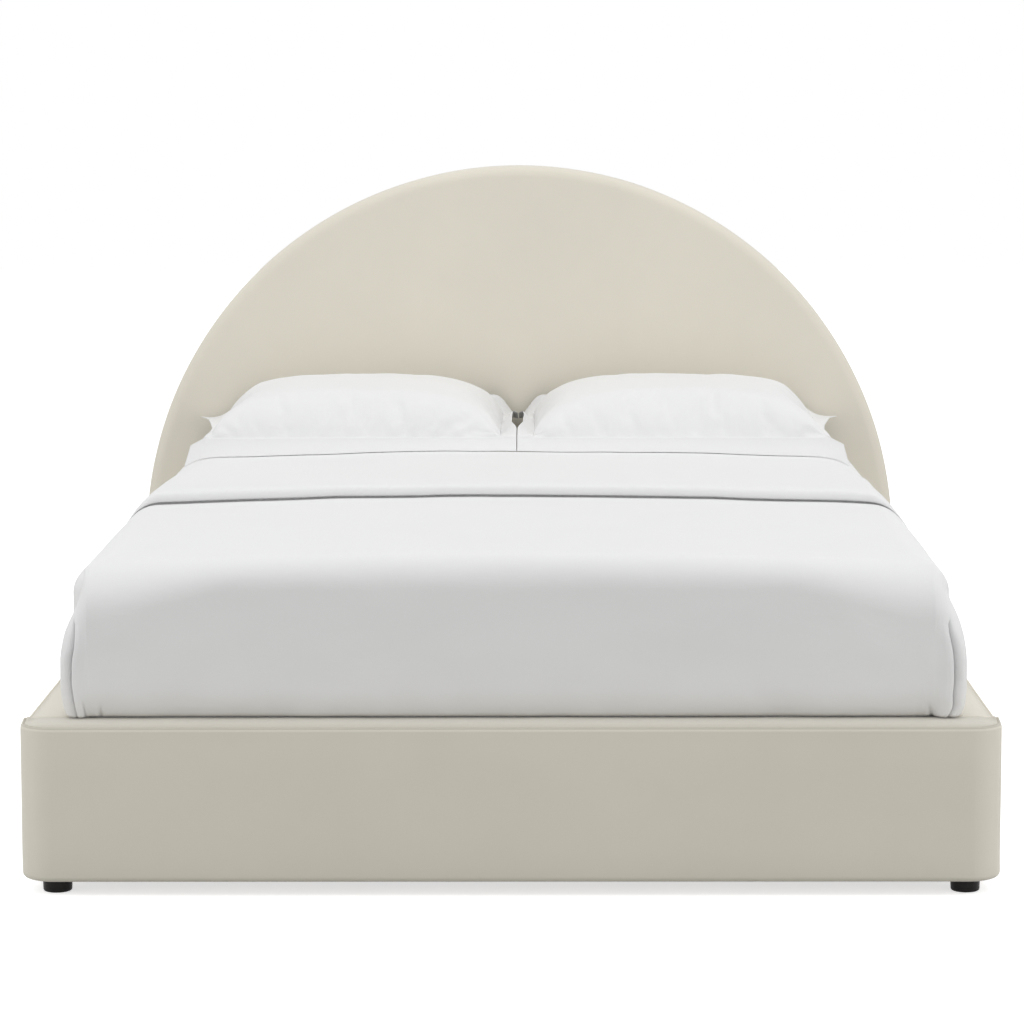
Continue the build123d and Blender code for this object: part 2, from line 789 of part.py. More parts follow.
with BuildPart() as plate_screws:
    for place in plate_screw_planes:
        screw(place, plate_screw_length)
save(plate_screws.part, "leg_plate_screws")


# Mattress and fitted sheet
def mattress_form(grow):
    """The mattress's rounded block, grown on every side by grow."""
    with BuildPart() as form:
        with Locations((0, mattress_foot_y + mattress_length / 2, mattress_bottom_z + mattress_height / 2)):
            Box(mattress_width + 2 * grow, mattress_length + 2 * grow, mattress_height + 2 * grow)
        fillet(form.edges().filter_by(Axis.Z), mattress_corner_radius + grow)
        flats = form.faces().filter_by(Axis.Z)
        fillet([e for flat in flats for e in flat.edges()], mattress_edge_radius + grow)
    return form.part


with BuildPart() as mattress_core:
    add(mattress_form(-ticking_thickness))
save(mattress_core.part, "mattress_core")

with BuildPart() as mattress_ticking:
    add(mattress_form(0))
    add(mattress_form(-ticking_thickness), mode=Mode.SUBTRACT)
save(mattress_ticking.part, "mattress_ticking")

with BuildPart() as fitted_sheet:
    add(mattress_form(sheet_thickness))
    add(mattress_form(0), mode=Mode.SUBTRACT)
    hem_x = mattress_width / 2 - sheet_hem
    block(
        (-hem_x, hem_x),
        (mattress_foot_y + sheet_hem, mattress_foot_y + mattress_length - sheet_hem),
        (mattress_bottom_z - overrun, mattress_bottom_z + overrun),
        mode=Mode.SUBTRACT,
    )
save(fitted_sheet.part, "fitted_sheet")

# Duvet: it hangs over the sides and the foot, and its top end is turned back over itself
duvet_gap = sheet_thickness + bedding_gap
duvet_inner_x = mattress_width / 2 + duvet_gap
duvet_inner_y = mattress_foot_y - duvet_gap
duvet_floor_z = mattress_top_z + duvet_gap
duvet_hem_z = rail_top_z + duvet_hem_gap
duvet_edge_z = duvet_floor_z + duvet_edge_loft
duvet_crown_z = duvet_floor_z + duvet_crown_loft
duvet_foot_y = duvet_inner_y - duvet_side_bulge
fold_y = headboard_front_y - turnback_head_gap
turnback_y = fold_y - turnback_width


def drape(place, crown, inner, side_loft, top_loft):
    """Half section of the draped duvet on a plane: over the crown, round the shoulder, down to the hem."""
    shoulder_x = inner + duvet_side_bulge + side_loft
    edge_z = duvet_edge_z + top_loft
    with BuildSketch(place) as half:
        with BuildLine():
            top = TangentArc(
                (crown, duvet_crown_z + top_loft),
                (shoulder_x - duvet_shoulder_radius, edge_z),
                tangent=(1, 0),
            )
            shoulder = TangentArc(top @ 1, (shoulder_x, edge_z - duvet_shoulder_radius), tangent=top % 1)
            side = TangentArc(
                shoulder @ 1,
                (inner + duvet_hem_bulge + side_loft, duvet_hem_z),
                tangent=shoulder % 1,
            )
            Polyline(side @ 1, (crown, duvet_hem_z), (crown, duvet_crown_z + top_loft))
        make_face()
    return half.sketch


def drape_across(start, end, side_loft, top_loft):
    """The duvet's cross-section, run along the bed between two values of y."""
    with BuildPart() as run:
        extrude(drape(upright(start), 0, duvet_inner_x, side_loft, top_loft), amount=start - end)
        mirror(about=Plane.YZ)
    return run.part


with BuildPart() as end_drape:
    towards_foot = Plane(origin=(0, 0, 0), x_dir=(0, -1, 0), z_dir=(-1, 0, 0))
    extrude(drape(towards_foot, -fold_y, -duvet_inner_y, 0, 0), amount=side_rail_outer_x, both=True)

with BuildPart() as corner_drape:
    back_y = fold_y - turnback_fold_radius
    front_y = duvet_foot_y - overrun
    with BuildSketch(Plane.XY.offset(duvet_hem_z)) as plan:
        with Locations((0, (front_y + back_y) / 2)):
            Rectangle(2 * (duvet_inner_x + duvet_side_bulge + overrun), back_y - front_y)
        fillet(plan.vertices().group_by(Axis.Y)[0], duvet_corner_radius + 2 * overrun)
    extrude(amount=duvet_crown_z - duvet_hem_z)

with BuildPart() as turnback:
    add(drape_across(turnback_y, fold_y, turnback_side_loft, turnback_loft))
    hem, fold = turnback.faces().filter_by(Axis.Y).group_by(Axis.Y)
    fillet([e for face in hem for e in face.edges().sort_by(Axis.Z)[1:]], turnback_hem_radius)
    fillet([e for face in fold for e in face.edges().sort_by(Axis.Z)[1:]], turnback_fold_radius)

with BuildPart() as duvet:
    add(drape_across(duvet_foot_y, fold_y, 0, 0))
    add(end_drape.part, mode=Mode.INTERSECT)
    add(corner_drape.part, mode=Mode.INTERSECT)
    add(turnback.part)
    add(mattress_form(duvet_gap), mode=Mode.SUBTRACT)
    pleat_x = duvet_inner_x + pleat_inset
    for side in (-1, 1):
        block(
            (side * pleat_x, side * (pleat_x + pleat_width)),
            (duvet_foot_y - overrun, duvet_foot_y + pleat_depth),
            (duvet_hem_z - overrun, duvet_edge_z - pleat_top_drop),
            mode=Mode.SUBTRACT,
        )
save(duvet.part, "duvet")


# Pillows: a soft insert in a sham that is sewn round with a flange
pillow_half = pillow_width / 2
pillow_x = pillow_half + pillow_flange + pillow_middle_gap / 2
pillow_y = headboard_front_y - pillow_head_gap - pillow_flange - pillow_depth / 2
pillow_z = duvet_floor_z + pillow_belly


def pillow_form(x, inset):
    """Crowned pillow with drawn-in sides, inset from the sham's outside, centred at x."""
    with BuildPart() as form:
        for share, fullness in zip(pillow_station_shares, pillow_fullness_shares):
            station = x + share * (pillow_half - inset)
            half_depth = (pillow_depth - pillow_draw_in * fullness) / 2 - inset
            crown = pillow_end_crown + fullness * (pillow_crown - pillow_end_crown) - inset
            belly = pillow_end_crown + fullness * (pillow_belly - pillow_end_crown) - inset
            with BuildSketch(Plane(origin=(station, pillow_y, pillow_z), x_dir=(0, 1, 0), z_dir=(1, 0, 0))):
                with BuildLine():
                    ThreePointArc((-half_depth, 0), (0, crown), (half_depth, 0))
                    ThreePointArc((half_depth, 0), (0, -belly), (-half_depth, 0))
                make_face()
        loft()
    return form.part


for side, name in ((-1, "left"), (1, "right")):
    x = side * pillow_x
    with BuildPart() as pillow_insert:
        add(pillow_form(x, sham_thickness + insert_gap))
    save(pillow_insert.part, f"pillow_insert_{name}")

    with BuildPart() as pillow_sham:
        add(pillow_form(x, 0))
        with BuildSketch(Plane(origin=(x, pillow_y, pillow_z - pillow_flange_thickness / 2))):
            RectangleRounded(
                pillow_width + 2 * pillow_flange,
                pillow_depth + 2 * pillow_flange,
                pillow_flange_radius,
            )
        extrude(amount=pillow_flange_thickness)
        add(pillow_form(x, sham_thickness), mode=Mode.SUBTRACT)
    save(pillow_sham.part, f"pillow_sham_{name}")
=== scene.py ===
# %% [markdown]
# # A made-up platform bed with a half-round headboard
# The CAD model holds the bed at its real size: boards, slats, legs, brackets and plain soft blocks. This
# script keeps the hard parts as they are and dresses the soft ones. It is read from top to bottom, one cell
# at a time.

# %% The frame
import json
import math

import bmesh
import bpy
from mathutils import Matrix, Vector, noise


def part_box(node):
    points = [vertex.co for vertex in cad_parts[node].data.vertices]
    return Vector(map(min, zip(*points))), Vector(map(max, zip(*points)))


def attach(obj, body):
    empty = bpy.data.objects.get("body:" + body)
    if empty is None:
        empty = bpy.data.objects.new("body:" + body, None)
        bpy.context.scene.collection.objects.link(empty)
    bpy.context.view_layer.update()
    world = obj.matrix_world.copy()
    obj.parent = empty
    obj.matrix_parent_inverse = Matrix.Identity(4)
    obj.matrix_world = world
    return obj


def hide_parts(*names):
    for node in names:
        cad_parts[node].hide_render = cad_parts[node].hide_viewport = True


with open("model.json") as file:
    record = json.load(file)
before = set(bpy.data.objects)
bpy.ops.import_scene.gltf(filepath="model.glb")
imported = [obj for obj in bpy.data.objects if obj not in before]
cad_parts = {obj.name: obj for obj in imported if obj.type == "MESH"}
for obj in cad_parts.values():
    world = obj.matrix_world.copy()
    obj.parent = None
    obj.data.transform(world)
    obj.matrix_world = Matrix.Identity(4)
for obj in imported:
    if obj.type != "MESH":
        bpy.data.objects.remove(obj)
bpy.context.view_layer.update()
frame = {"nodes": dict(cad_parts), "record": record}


def add_object(name, data):
    made = bpy.data.objects.new(name, data)
    bpy.context.scene.collection.objects.link(made)
    return made

# %% [markdown]
# ## The camera
# The photograph is a front view taken with a long lens from a little above the bed. Guessing the camera by
# eye would be slower than solving it from four things in the picture: the horizon, the point where the
# rails meet, the width of the mattress and the height of the headboard. The answer is a lens of about 127
# mm on a 36 mm sensor, 6.1 m in front of the rail.

# %% Camera
lens_length = 126.8
camera_place = (0.061, -7.217, 1.396)
camera_tilt, camera_roll, camera_pan = 6.785, 0.135, 0.519
camera_data = bpy.data.cameras.new("camera")
camera_data.sensor_width = 36
camera_data.lens = lens_length
camera = add_object("camera", camera_data)
camera.location = camera_place
camera.rotation_euler = [math.radians(angle) for angle in (90 - camera_tilt, camera_roll, camera_pan)]
bpy.context.scene.camera = camera

# %% [markdown]
# ## Writing materials as sums
# A node tree is quick to draw by hand and slow to read in code. A small class wraps one socket, so that a
# plus or a times on it adds a Math node, and a finish reads like a formula. Every finish of the bed ends in
# the same way: a pattern blends two colours, and a relief catches the light.

# %% Shader helpers
class Value:
    """One output socket that can be added and multiplied like a number."""

    def __init__(self, tree, socket):
        self.tree = tree
        self.socket = socket

    def math(self, operation, first, second):
        node = self.tree.nodes.new("ShaderNodeMath")
        node.operation = operation
        for place, value in zip(node.inputs, (first, second)):
            if isinstance(value, Value):
                self.tree.links.new(value.socket, place)
            else:
                place.default_value = value
        return Value(self.tree, node.outputs[0])

    def __add__(self, other):
        return self.math("ADD", self, other)

    def __rsub__(self, other):
        return self.math("SUBTRACT", other, self)

    def __mul__(self, other):
        return self.math("MULTIPLY", self, other)

    __radd__ = __add__
    __rmul__ = __mul__


class Finish:
    """A material: its principled shader, and methods that add the other nodes."""

    def __init__(self, name, **constants):
        self.material = bpy.data.materials.new(name)
        self.material.use_nodes = True
        self.tree = self.material.node_tree
        self.shader = self.tree.nodes["Principled BSDF"]
        for socket, value in constants.items():
            self.shader.inputs[socket.replace("_", " ")].default_value = value
        self.place = self.node("ShaderNodeTexCoord", output="Object")

    def node(self, kind, settings=None, inputs=None, output=0):
        node = self.tree.nodes.new(kind)
        for name, value in (settings or {}).items():
            setattr(node, name, value)
        for name, value in (inputs or {}).items():
            if isinstance(value, Value):
                self.tree.links.new(value.socket, node.inputs[name])
            else:
                node.inputs[name].default_value = value
        return Value(self.tree, node.outputs[output])

    def stretched(self, scale):
        return self.node("ShaderNodeMapping", inputs={"Vector": self.place, "Scale": scale})

    def texture(self, kind, place, settings=None, **inputs):
        return self.node("ShaderNodeTex" + kind, settings, {"Vector": place or self.place, **inputs})

    def noise(self, scale, detail=2.0, roughness=0.5, place=None, distortion=0.0):
        wanted = {"Scale": scale, "Detail": detail, "Roughness": roughness, "Distortion": distortion}
        return self.texture("Noise", place, **wanted)

    def wave(self, scale, axis, distortion, place=None, detail=2.0):
        wanted = {"Scale": scale, "Distortion": distortion, "Detail": detail}
        return self.texture("Wave", place, {"bands_direction": axis}, **wanted)

    def cells(self, scale, place=None):
        return self.texture("Voronoi", place, Scale=scale)

    def between(self, value, start, end, first=0.0, last=1.0):
        """Go from first to last while the value goes from start to end."""
        wanted = {"Value": value, "From Min": start, "From Max": end, "To Min": first, "To Max": last}
        return self.node("ShaderNodeMapRange", inputs=wanted)

    def mix(self, factor, *colours):
        """Blend two colours. Each is a colour of three numbers, or the result of another mix."""
        first, second = (colour if isinstance(colour, Value) else (*colour, 1.0) for colour in colours)
        return self.node("ShaderNodeMix", {"data_type": "RGBA"}, {0: factor, 6: first, 7: second}, output=2)

    def dress(self, pattern, first, second, roughness, relief, depth, strength):
        """End a finish: two colours blended by a pattern, a roughness, and a relief so deep in metres."""
        bump = {"Height": relief, "Distance": depth, "Strength": strength}
        varying = {
            "Base Color": self.mix(pattern, first, second),
            "Roughness": roughness,
            "Normal": self.node("ShaderNodeBump", inputs=bump),
        }
        for socket, value in varying.items():
            self.tree.links.new(value.socket, self.shader.inputs[socket])
        return self.material


def toned(colour, tone):
    return tuple(part * tone for part in colour)

# %% [markdown]
# ## Velvet
# The frame is covered in a short, dense cream pile. Velvet scatters light back from the tips of its fibres,
# so its edges look pale, and wherever a hand has brushed it the nap leans another way and the tone shifts a
# little. Sheen gives the pale edge. Two soft noises shift the tone, and a very fine one breaks up the
# surface.

# %% Velvet
cream = (0.745, 0.708, 0.612)
pale_sheen = (1.0, 0.98, 0.93, 1.0)
ledge_height = 0.2925
no_ledge = 10.0


def velvet(name, tone, painted_ledge_shading=1.0, ledge_z=no_ledge):
    """Cream velvet. Above ledge_z the ledge takes its own tone: painted shade below 1, painted light above
    1.
    """
    cloth = Finish(name, Sheen_Weight=1.0, Sheen_Roughness=0.35, Sheen_Tint=pale_sheen)
    nap = cloth.noise(2.6, 3.0, 0.55, distortion=0.4)
    brushed = cloth.noise(11.0, 4.0, 0.6)
    pile = cloth.noise(1400.0, 1.0)
    shift = nap * 0.6 + brushed * 0.25 + pile * 0.15
    height = cloth.node("ShaderNodeSeparateXYZ", inputs={"Vector": cloth.place}, output="Z")
    # Above ledge_z the colour takes the ledge's own tone: painted shade on the top where that tone is below
    # 1, painted light where it is above 1.
    ledge = cloth.between(height, ledge_z, ledge_z + 0.003)
    face = cloth.mix(shift, toned(cream, tone * 0.91), toned(cream, tone * 1.07))
    ledge_shading_and_lathe_marks = cloth.mix(shift, toned(cream, painted_ledge_shading * 0.96), toned(cream, painted_ledge_shading * 1.04))
    relief = pile * 0.4 + brushed * 0.6
    return cloth.dress(ledge, face, ledge_shading_and_lathe_marks, 0.86 + 0.1 * brushed, relief, 0.0007, 0.5)


# The headboard is a copy of the rails' velvet painted 9 % lighter, as painted light on the whole headboard.
headboard_cream = velvet("headboard_cream", 1.09)
# The foot rail's ledge is painted a quarter darker, as painted shade. The side rails' ledges are painted 2 %
# lighter, as painted light.
foot_cream = velvet("foot_cream", 1.0, 0.75, ledge_height)
side_cream = velvet("side_cream", 1.0, 1.02, ledge_height)

# %% [markdown]
# ## Bed linen
# The duvet and the shams are plain white percale. Its threads are half a millimetre apart, too fine to see
# from the foot of the bed, but they give the close-up its cloth look. Long faint creases stay from the
# folding and pressing, so a stretched noise is added to the weave.

# %% Linen
thread_scale = 620.0


def percale(name, white, crease_depth):
    cloth = Finish(name, Roughness=0.82, Sheen_Weight=0.08, Sheen_Roughness=0.6)
    across, along, upright = (cloth.wave(thread_scale, axis, 0.4) for axis in "XYZ")
    weave = across * 0.34 + along * 0.33 + upright * 0.33
    crease = cloth.noise(5.0, 5.0, 0.55, place=cloth.stretched((1.0, 0.45, 1.3)), distortion=0.6)
    slub = cloth.noise(140.0)
    pattern = crease * 0.7 + slub * 0.3
    relief = weave * 0.06 + crease
    dull, bright = toned(white, 0.975), toned(white, 1.015)
    return cloth.dress(pattern, dull, bright, 0.78 + 0.1 * slub, relief, crease_depth, 0.6)


duvet_percale = percale("duvet_percale", (0.852, 0.853, 0.855), 0.0035)
sham_percale = percale("sham_percale", (0.866, 0.867, 0.869), 0.004)
sheet_percale = percale("sheet_percale", (0.850, 0.851, 0.854), 0.0015)

# %% [markdown]
# ## The other cloths
# Under the sheet is a knitted ticking with small raised loops. A black non-woven cloth closes the back of
# the headboard, and two strips of woven tape keep the slats apart.

# %% Other cloths
knit = Finish("ticking_knit", Roughness=0.9, Sheen_Weight=0.1)
loops = knit.cells(260.0)
soft = knit.noise(9.0, 3.0)
pattern = loops * 0.8 + soft * 0.2
knit_colours = (0.80, 0.80, 0.78), (0.68, 0.68, 0.66)
ticking_knit = knit.dress(pattern, *knit_colours, 0.84 + 0.1 * soft, 1 - loops, 0.0008, 0.6)

felt = Finish("dust_cloth", Roughness=0.95)
fibres = felt.noise(420.0, 4.0, 0.7, distortion=1.5)
relief = fibres * 0.5 + felt.cells(700.0) * 0.5
felt_colours = (0.022, 0.022, 0.023), (0.060, 0.060, 0.062)
black_dust_cloth = felt.dress(fibres, *felt_colours, 0.88 + 0.1 * fibres, relief, 0.0004, 0.6)

webbing = Finish("woven_tape", Roughness=0.8)
ribs = webbing.wave(300.0, "Y", 0.3)
pattern = ribs * 0.6 + webbing.wave(260.0, "X", 0.3) * 0.4
webbing_colours = (0.66, 0.64, 0.58), (0.84, 0.82, 0.76)
off_white_tape = webbing.dress(pattern, *webbing_colours, 0.74 + 0.12 * ribs, pattern, 0.0005, 0.8)

# %% [markdown]
# ## Wood
# The slats and the inner frame are planed pine, and the boards behind the foam are plywood. Pine shows wide
# bands of early and late wood along its length, and here and there a knot. Plywood shows a broad, flat
# figure on its faces. Both need their pattern stretched along the grain, so each finish is made once for
# every direction that a board runs in.

# %% Wood
along_axis = {"X": (0.06, 1.0, 1.0), "Y": (1.0, 0.06, 1.0), "Z": (1.0, 1.0, 0.06)}
knot_brown = (0.34, 0.19, 0.09)


def pine(axis):
    wood = Finish(f"pine_along_{axis.lower()}", Roughness=0.6)
    grain_place = wood.stretched(along_axis[axis])
    bands = wood.wave(26.0, "DIAGONAL", 5.0, grain_place, 3.0)
    fibre = wood.noise(420.0, 3.0, place=grain_place)
    knots = wood.cells(3.0, wood.stretched((1.4, 1.4, 1.4)))
    dark = wood.between(knots, 0.03, 0.09, 1.0, 0.0)
    board = wood.mix(bands * 0.7 + fibre * 0.3, (0.79, 0.62, 0.40), (0.66, 0.47, 0.26))
    return wood.dress(dark, board, knot_brown, 0.5 + 0.2 * fibre, fibre * 0.5 + bands * 0.5, 0.0003, 0.5)


def plywood(axis):
    wood = Finish(f"plywood_along_{axis.lower()}", Roughness=0.62)
    grain_place = wood.stretched(along_axis[axis])
    figure = wood.noise(9.0, 4.0, 0.6, grain_place, 1.6)
    fibre = wood.noise(300.0, 3.0, place=grain_place)
    pattern = figure * 0.7 + fibre * 0.3
    colours = (0.56, 0.41, 0.25), (0.74, 0.59, 0.40)
    return wood.dress(pattern, *colours, 0.52 + 0.2 * fibre, fibre, 0.0003, 0.5)


pine_finish = {axis: pine(axis) for axis in "XYZ"}
plywood_finish = {axis: plywood(axis) for axis in "XYZ"}

# %% [markdown]
# ## Plastic and steel
# The feet and glides are black moulded plastic with a faint spark-eroded grain. The beam, the legs and the
# brackets are powder-coated, which dries with a slight orange-peel. Screws, bolts and nuts are zinc plated:
# a metal with cloudy patches.

# %% Plastic and steel
plastic = Finish("black_moulded_plastic", Roughness=0.42, Specular_IOR_Level=0.15)
grain = plastic.noise(900.0)
scuff = plastic.noise(30.0, 4.0, 0.65)
plastic_colours = (0.007, 0.0065, 0.006), (0.014, 0.013, 0.012)
black_plastic = plastic.dress(scuff, *plastic_colours, 0.34 + 0.16 * scuff, grain, 0.0001, 0.5)

coated = Finish("black_powder_coat", Roughness=0.5)
peel = coated.noise(520.0)
dusty = coated.noise(7.0, 4.0, 0.6)
coat_colours = (0.020, 0.020, 0.021), (0.038, 0.038, 0.040)
black_powder = coated.dress(dusty, *coat_colours, 0.42 + 0.18 * dusty, peel, 0.00015, 0.5)

zinc = Finish("zinc_plate", Metallic=1.0, Roughness=0.35)
clouds = zinc.noise(160.0, 4.0, 0.6)
ledge_shading_and_lathe_marks = zinc.noise(900.0, place=zinc.stretched((1.0, 0.2, 1.0)))
zinc_colours = (0.56, 0.57, 0.58), (0.74, 0.75, 0.75)
bright_zinc = zinc.dress(clouds, *zinc_colours, 0.26 + 0.2 * clouds, ledge_shading_and_lathe_marks, 0.00008, 0.5)

# %% [markdown]
# ## Finishing the CAD parts that stay
# Each CAD node names a material slot in the record. Where the slot is a wood, the grain follows the longest
# side of the node, which is how a board is sawn. Two nodes stand upright although they are wider than high.

# %% Finishes on the CAD nodes
slot_of = {row["node"]: row["material_slot"] for row in frame["record"]["subparts"]}
plain_finish = {
    "velvet": side_cream,
    "cotton": sheet_percale,
    "ticking": ticking_knit,
    "foam": ticking_knit,
    "fill": sham_percale,
    "dust_cloth": black_dust_cloth,
    "webbing": off_white_tape,
    "black_plastic": black_plastic,
    "black_steel": black_powder,
    "zinc_steel": bright_zinc,
}
for node_name, node in frame["nodes"].items():
    low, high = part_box(node_name)
    longest = "XYZ"[max(range(3), key=lambda axis: high[axis] - low[axis])]
    if node_name in ("headboard_stiles", "headboard_front_board"):
        longest = "Z"
    slot = slot_of[node_name]
    chosen = {"pine": pine_finish, "plywood": plywood_finish}.get(slot)
    node.data.materials.clear()
    node.data.materials.append(chosen[longest] if chosen else plain_finish[slot])
print(len(frame["nodes"]), "CAD nodes finished")

# %% [markdown]
# ## Tools for soft shapes
# Nearly every soft part starts as a plain block at its CAD size. Its edges are rounded with a bevel, the
# block is cut across into a fine net, and the net's points are then pushed by a formula of their place, as
# a hand pushes padding about. Doing it in this order keeps the size exact and the seams sharp.

# %% Mesh helpers
both_sides = (-1, 1)
sides = (("left", -1), ("right", 1))
same_place = 1e-6
up = Vector((0, 0, 1))
ahead = Vector((0, -1, 0))


def block(low, high):
    """The net of a box between two corners."""
    bm = bmesh.new()
    bmesh.ops.create_cube(bm, size=1.0)
    bmesh.ops.scale(bm, vec=[b - a for a, b in zip(low, high)], verts=bm.verts)
    bmesh.ops.translate(bm, vec=[(a + b) / 2 for a, b in zip(low, high)], verts=bm.verts)
    return bm


def lies_on(edge, axis, place):
    return all(abs(vert.co["xyz".index(axis)] - place) < 1e-5 for vert in edge.verts)


def is_upright(edge):
    return lies_on(edge, "x", edge.verts[0].co.x) and lies_on(edge, "y", edge.verts[0].co.y)


def round_edges(bm, radius, segments, upright=False, off=None, **on):
    """Round the edges that lie on these planes and not on the plane off, perhaps only the upright ones."""
    edges = [
        edge
        for edge in bm.edges
        if all(lies_on(edge, axis, place) for axis, place in on.items())
        and not (off and lies_on(edge, *off))
        and (is_upright(edge) or not upright)
    ]
    round_shape = {"segments": segments, "profile": 0.5, "offset": radius, "offset_type": "OFFSET"}
    as_is = {"material": -1, "clamp_overlap": False, "loop_slide": True}
    bmesh.ops.bevel(bm, geom=edges, affect="EDGES", **round_shape, **as_is)


def cut_across(bm, **places):
    """Cut the net in planes across x, y or z, at all these places."""
    for axis, cuts in places.items():
        normal = Vector([float(letter == axis) for letter in "xyz"])
        for cut in cuts:
            net = bm.verts[:] + bm.edges[:] + bm.faces[:]
            bmesh.ops.bisect_plane(bm, geom=net, dist=same_place, plane_co=normal * cut, plane_no=normal)


def steps(start, end, pitch):
    count = max(1, round(abs(end - start) / pitch))
    return [start + (end - start) * index / count for index in range(count + 1)]


def push(bm, move):
    bm.normal_update()
    for vert in bm.verts:
        vert.co += move(vert.co, vert.normal)


def ease(start, end, value):
    """0 before start, 1 after end, and a smooth turn between them."""
    share = min(1.0, max(0.0, (value - start) / (end - start)))
    return share * share * (3 - 2 * share)


def hump(value, middle, width):
    return math.exp(-(((value - middle) / width) ** 2))


def way_out(place, half_width, foot_y, corner):
    """How far a point lies inside a plan with two round corners at its foot, and the way out of it."""
    side = math.copysign(1.0, place.x)
    from_side, from_foot = half_width - abs(place.x), place.y - foot_y
    arm = Vector((place.x - side * (half_width - corner), from_foot - corner, 0))
    if arm.x * side > 0 and arm.y < 0:
        return corner - arm.length, arm.normalized() if arm.length > same_place else ahead
    if from_foot < from_side:
        return from_foot, ahead
    return from_side, Vector((side, 0, 0))


def ripple(place, scale, shift=0.0):
    return noise.noise(Vector(place) * scale + Vector((shift, shift * 0.7, -shift)))


def net_object(name, bm):
    mesh = bpy.data.meshes.new(name)
    bm.to_mesh(mesh)
    bm.free()
    return add_object(name, mesh)


def make_piece(name, bm, material, body, replaced=(), crisp=40):
    """Turn the net into an object that rides on its body and stands for its CAD nodes."""
    bmesh.ops.remove_doubles(bm, verts=bm.verts, dist=same_place)
    bmesh.ops.recalc_face_normals(bm, faces=bm.faces)
    for face in bm.faces:
        face.smooth = True
    made = net_object(name, bm)
    made.data.materials.append(material)
    made.data.set_sharp_from_angle(angle=math.radians(crisp))
    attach(made, body)
    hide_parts(*replaced)
    print(name, len(made.data.polygons), "faces")
    return made


def thicken(made, thickness):
    """Give cloth its thickness, inwards from its outer face."""
    wall = made.modifiers.new("thickness", "SOLIDIFY")
    wall.thickness = thickness
    wall.offset = -1


def smooth_once(made):
    smoother = made.modifiers.new("smoother", "SUBSURF")
    smoother.levels = smoother.render_levels = 1


def apply_modifiers(made):
    """Keep what the modifiers make as the piece's own mesh."""
    graph = bpy.context.evaluated_depsgraph_get()
    finished = bpy.data.meshes.new_from_object(made.evaluated_get(graph))
    made.modifiers.clear()
    made.data = finished

# %% [markdown]
# ## Sewn top edges
# Each part of the frame wears a velvet cover, which stands for its CAD cover and foam. Along its upper edge
# a rail has a seam where the top strip meets the front panel. Thread pulls the two cloths in, and the foam
# below swells into a small lip. The seam is a groove across the rounded edge, and the lip a low hump next
# to it. Both are pushed straight out from the middle of the rounding.

# %% Seam along a rounded edge
seam_angle = math.radians(74)
seam_groove = 0.0030
seam_lip = 0.0012
rail_edge = 0.008
velvet_thickness = 0.0015


def sewn_edge(outward, inset, below_top):
    """Push for a point on a rounded top edge, inset from the side and below the top."""
    if max(inset, below_top) > rail_edge * 1.6:
        return Vector()
    angle = math.atan2(rail_edge - below_top, rail_edge - inset)
    along = rail_edge * (angle - seam_angle)
    height = seam_lip * hump(along, -0.0034, 0.0016) - seam_groove * hump(along, 0.0, 0.0012)
    return (outward * math.cos(angle) + up * math.sin(angle)) * height


def upholster(part, bm, finish):
    """Make the velvet cover of a part of the frame out of its net."""
    hidden = [f"{part}_cover", f"{part}_foam"]
    cover = make_piece(f"{part}_velvet", bm, finish, "bed_frame", hidden)
    thicken(cover, velvet_thickness)


def pad_rail(place, inset, outward, bottom, top, swell, crown):
    """Push for a point of a rail: its sewn edge, the swell of its front and the crown of its ledge."""
    below_top = top - place.z
    front = ease(0.01, 0.06, below_top) * ease(0.0, 0.05, place.z - bottom) * ease(0.012, 0.002, inset)
    move = sewn_edge(outward, inset, below_top) + outward * front * swell
    move.z += ease(0.004, 0.001, below_top) * crown
    return move

# %% [markdown]
# ## The foot rail
# The foot rail is one long padded box with two rounded corners. The cover is pulled over foam, so its front
# swells by a couple of millimetres, and at each end of the top seam the spare cloth stands up in a small
# ear where the side rail meets it. The cloth turns in underneath and leaves the bottom board open, as on a
# real frame.

# %% Foot rail
foot_low, foot_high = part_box("foot_rail_cover")
foot_corner = 0.060
foot_plan = (foot_high.x, foot_low.y, foot_corner)
bottom_edge = 0.010
back_edge = 0.003
open_x, open_front, open_back = 0.73, -1.086, -1.051


def pad_foot_rail(place, normal):
    inset, outward = way_out(place, *foot_plan)
    swell = 0.0016 * abs(outward.y) ** 4 + 0.0009 * ripple(place, 5.0)
    crown = ease(0.008, 0.040, inset) * (0.0022 + 0.0006 * ripple(place, 7.0, 3.0))
    ear = hump(abs(place.x), foot_high.x - 0.007, 0.0085) * hump(place.y, foot_high.y - 0.008, 0.016)
    raised = up * 0.0045 * ear * ease(0.020, 0.004, foot_high.z - place.z)
    return raised + pad_rail(place, inset, outward, foot_low.z, foot_high.z, swell, crown)


def open_bottom(bm, chosen):
    faces = [face for face in bm.faces if face.normal.z < -0.9 and chosen(face.calc_center_median())]
    bmesh.ops.delete(bm, geom=faces, context="FACES")


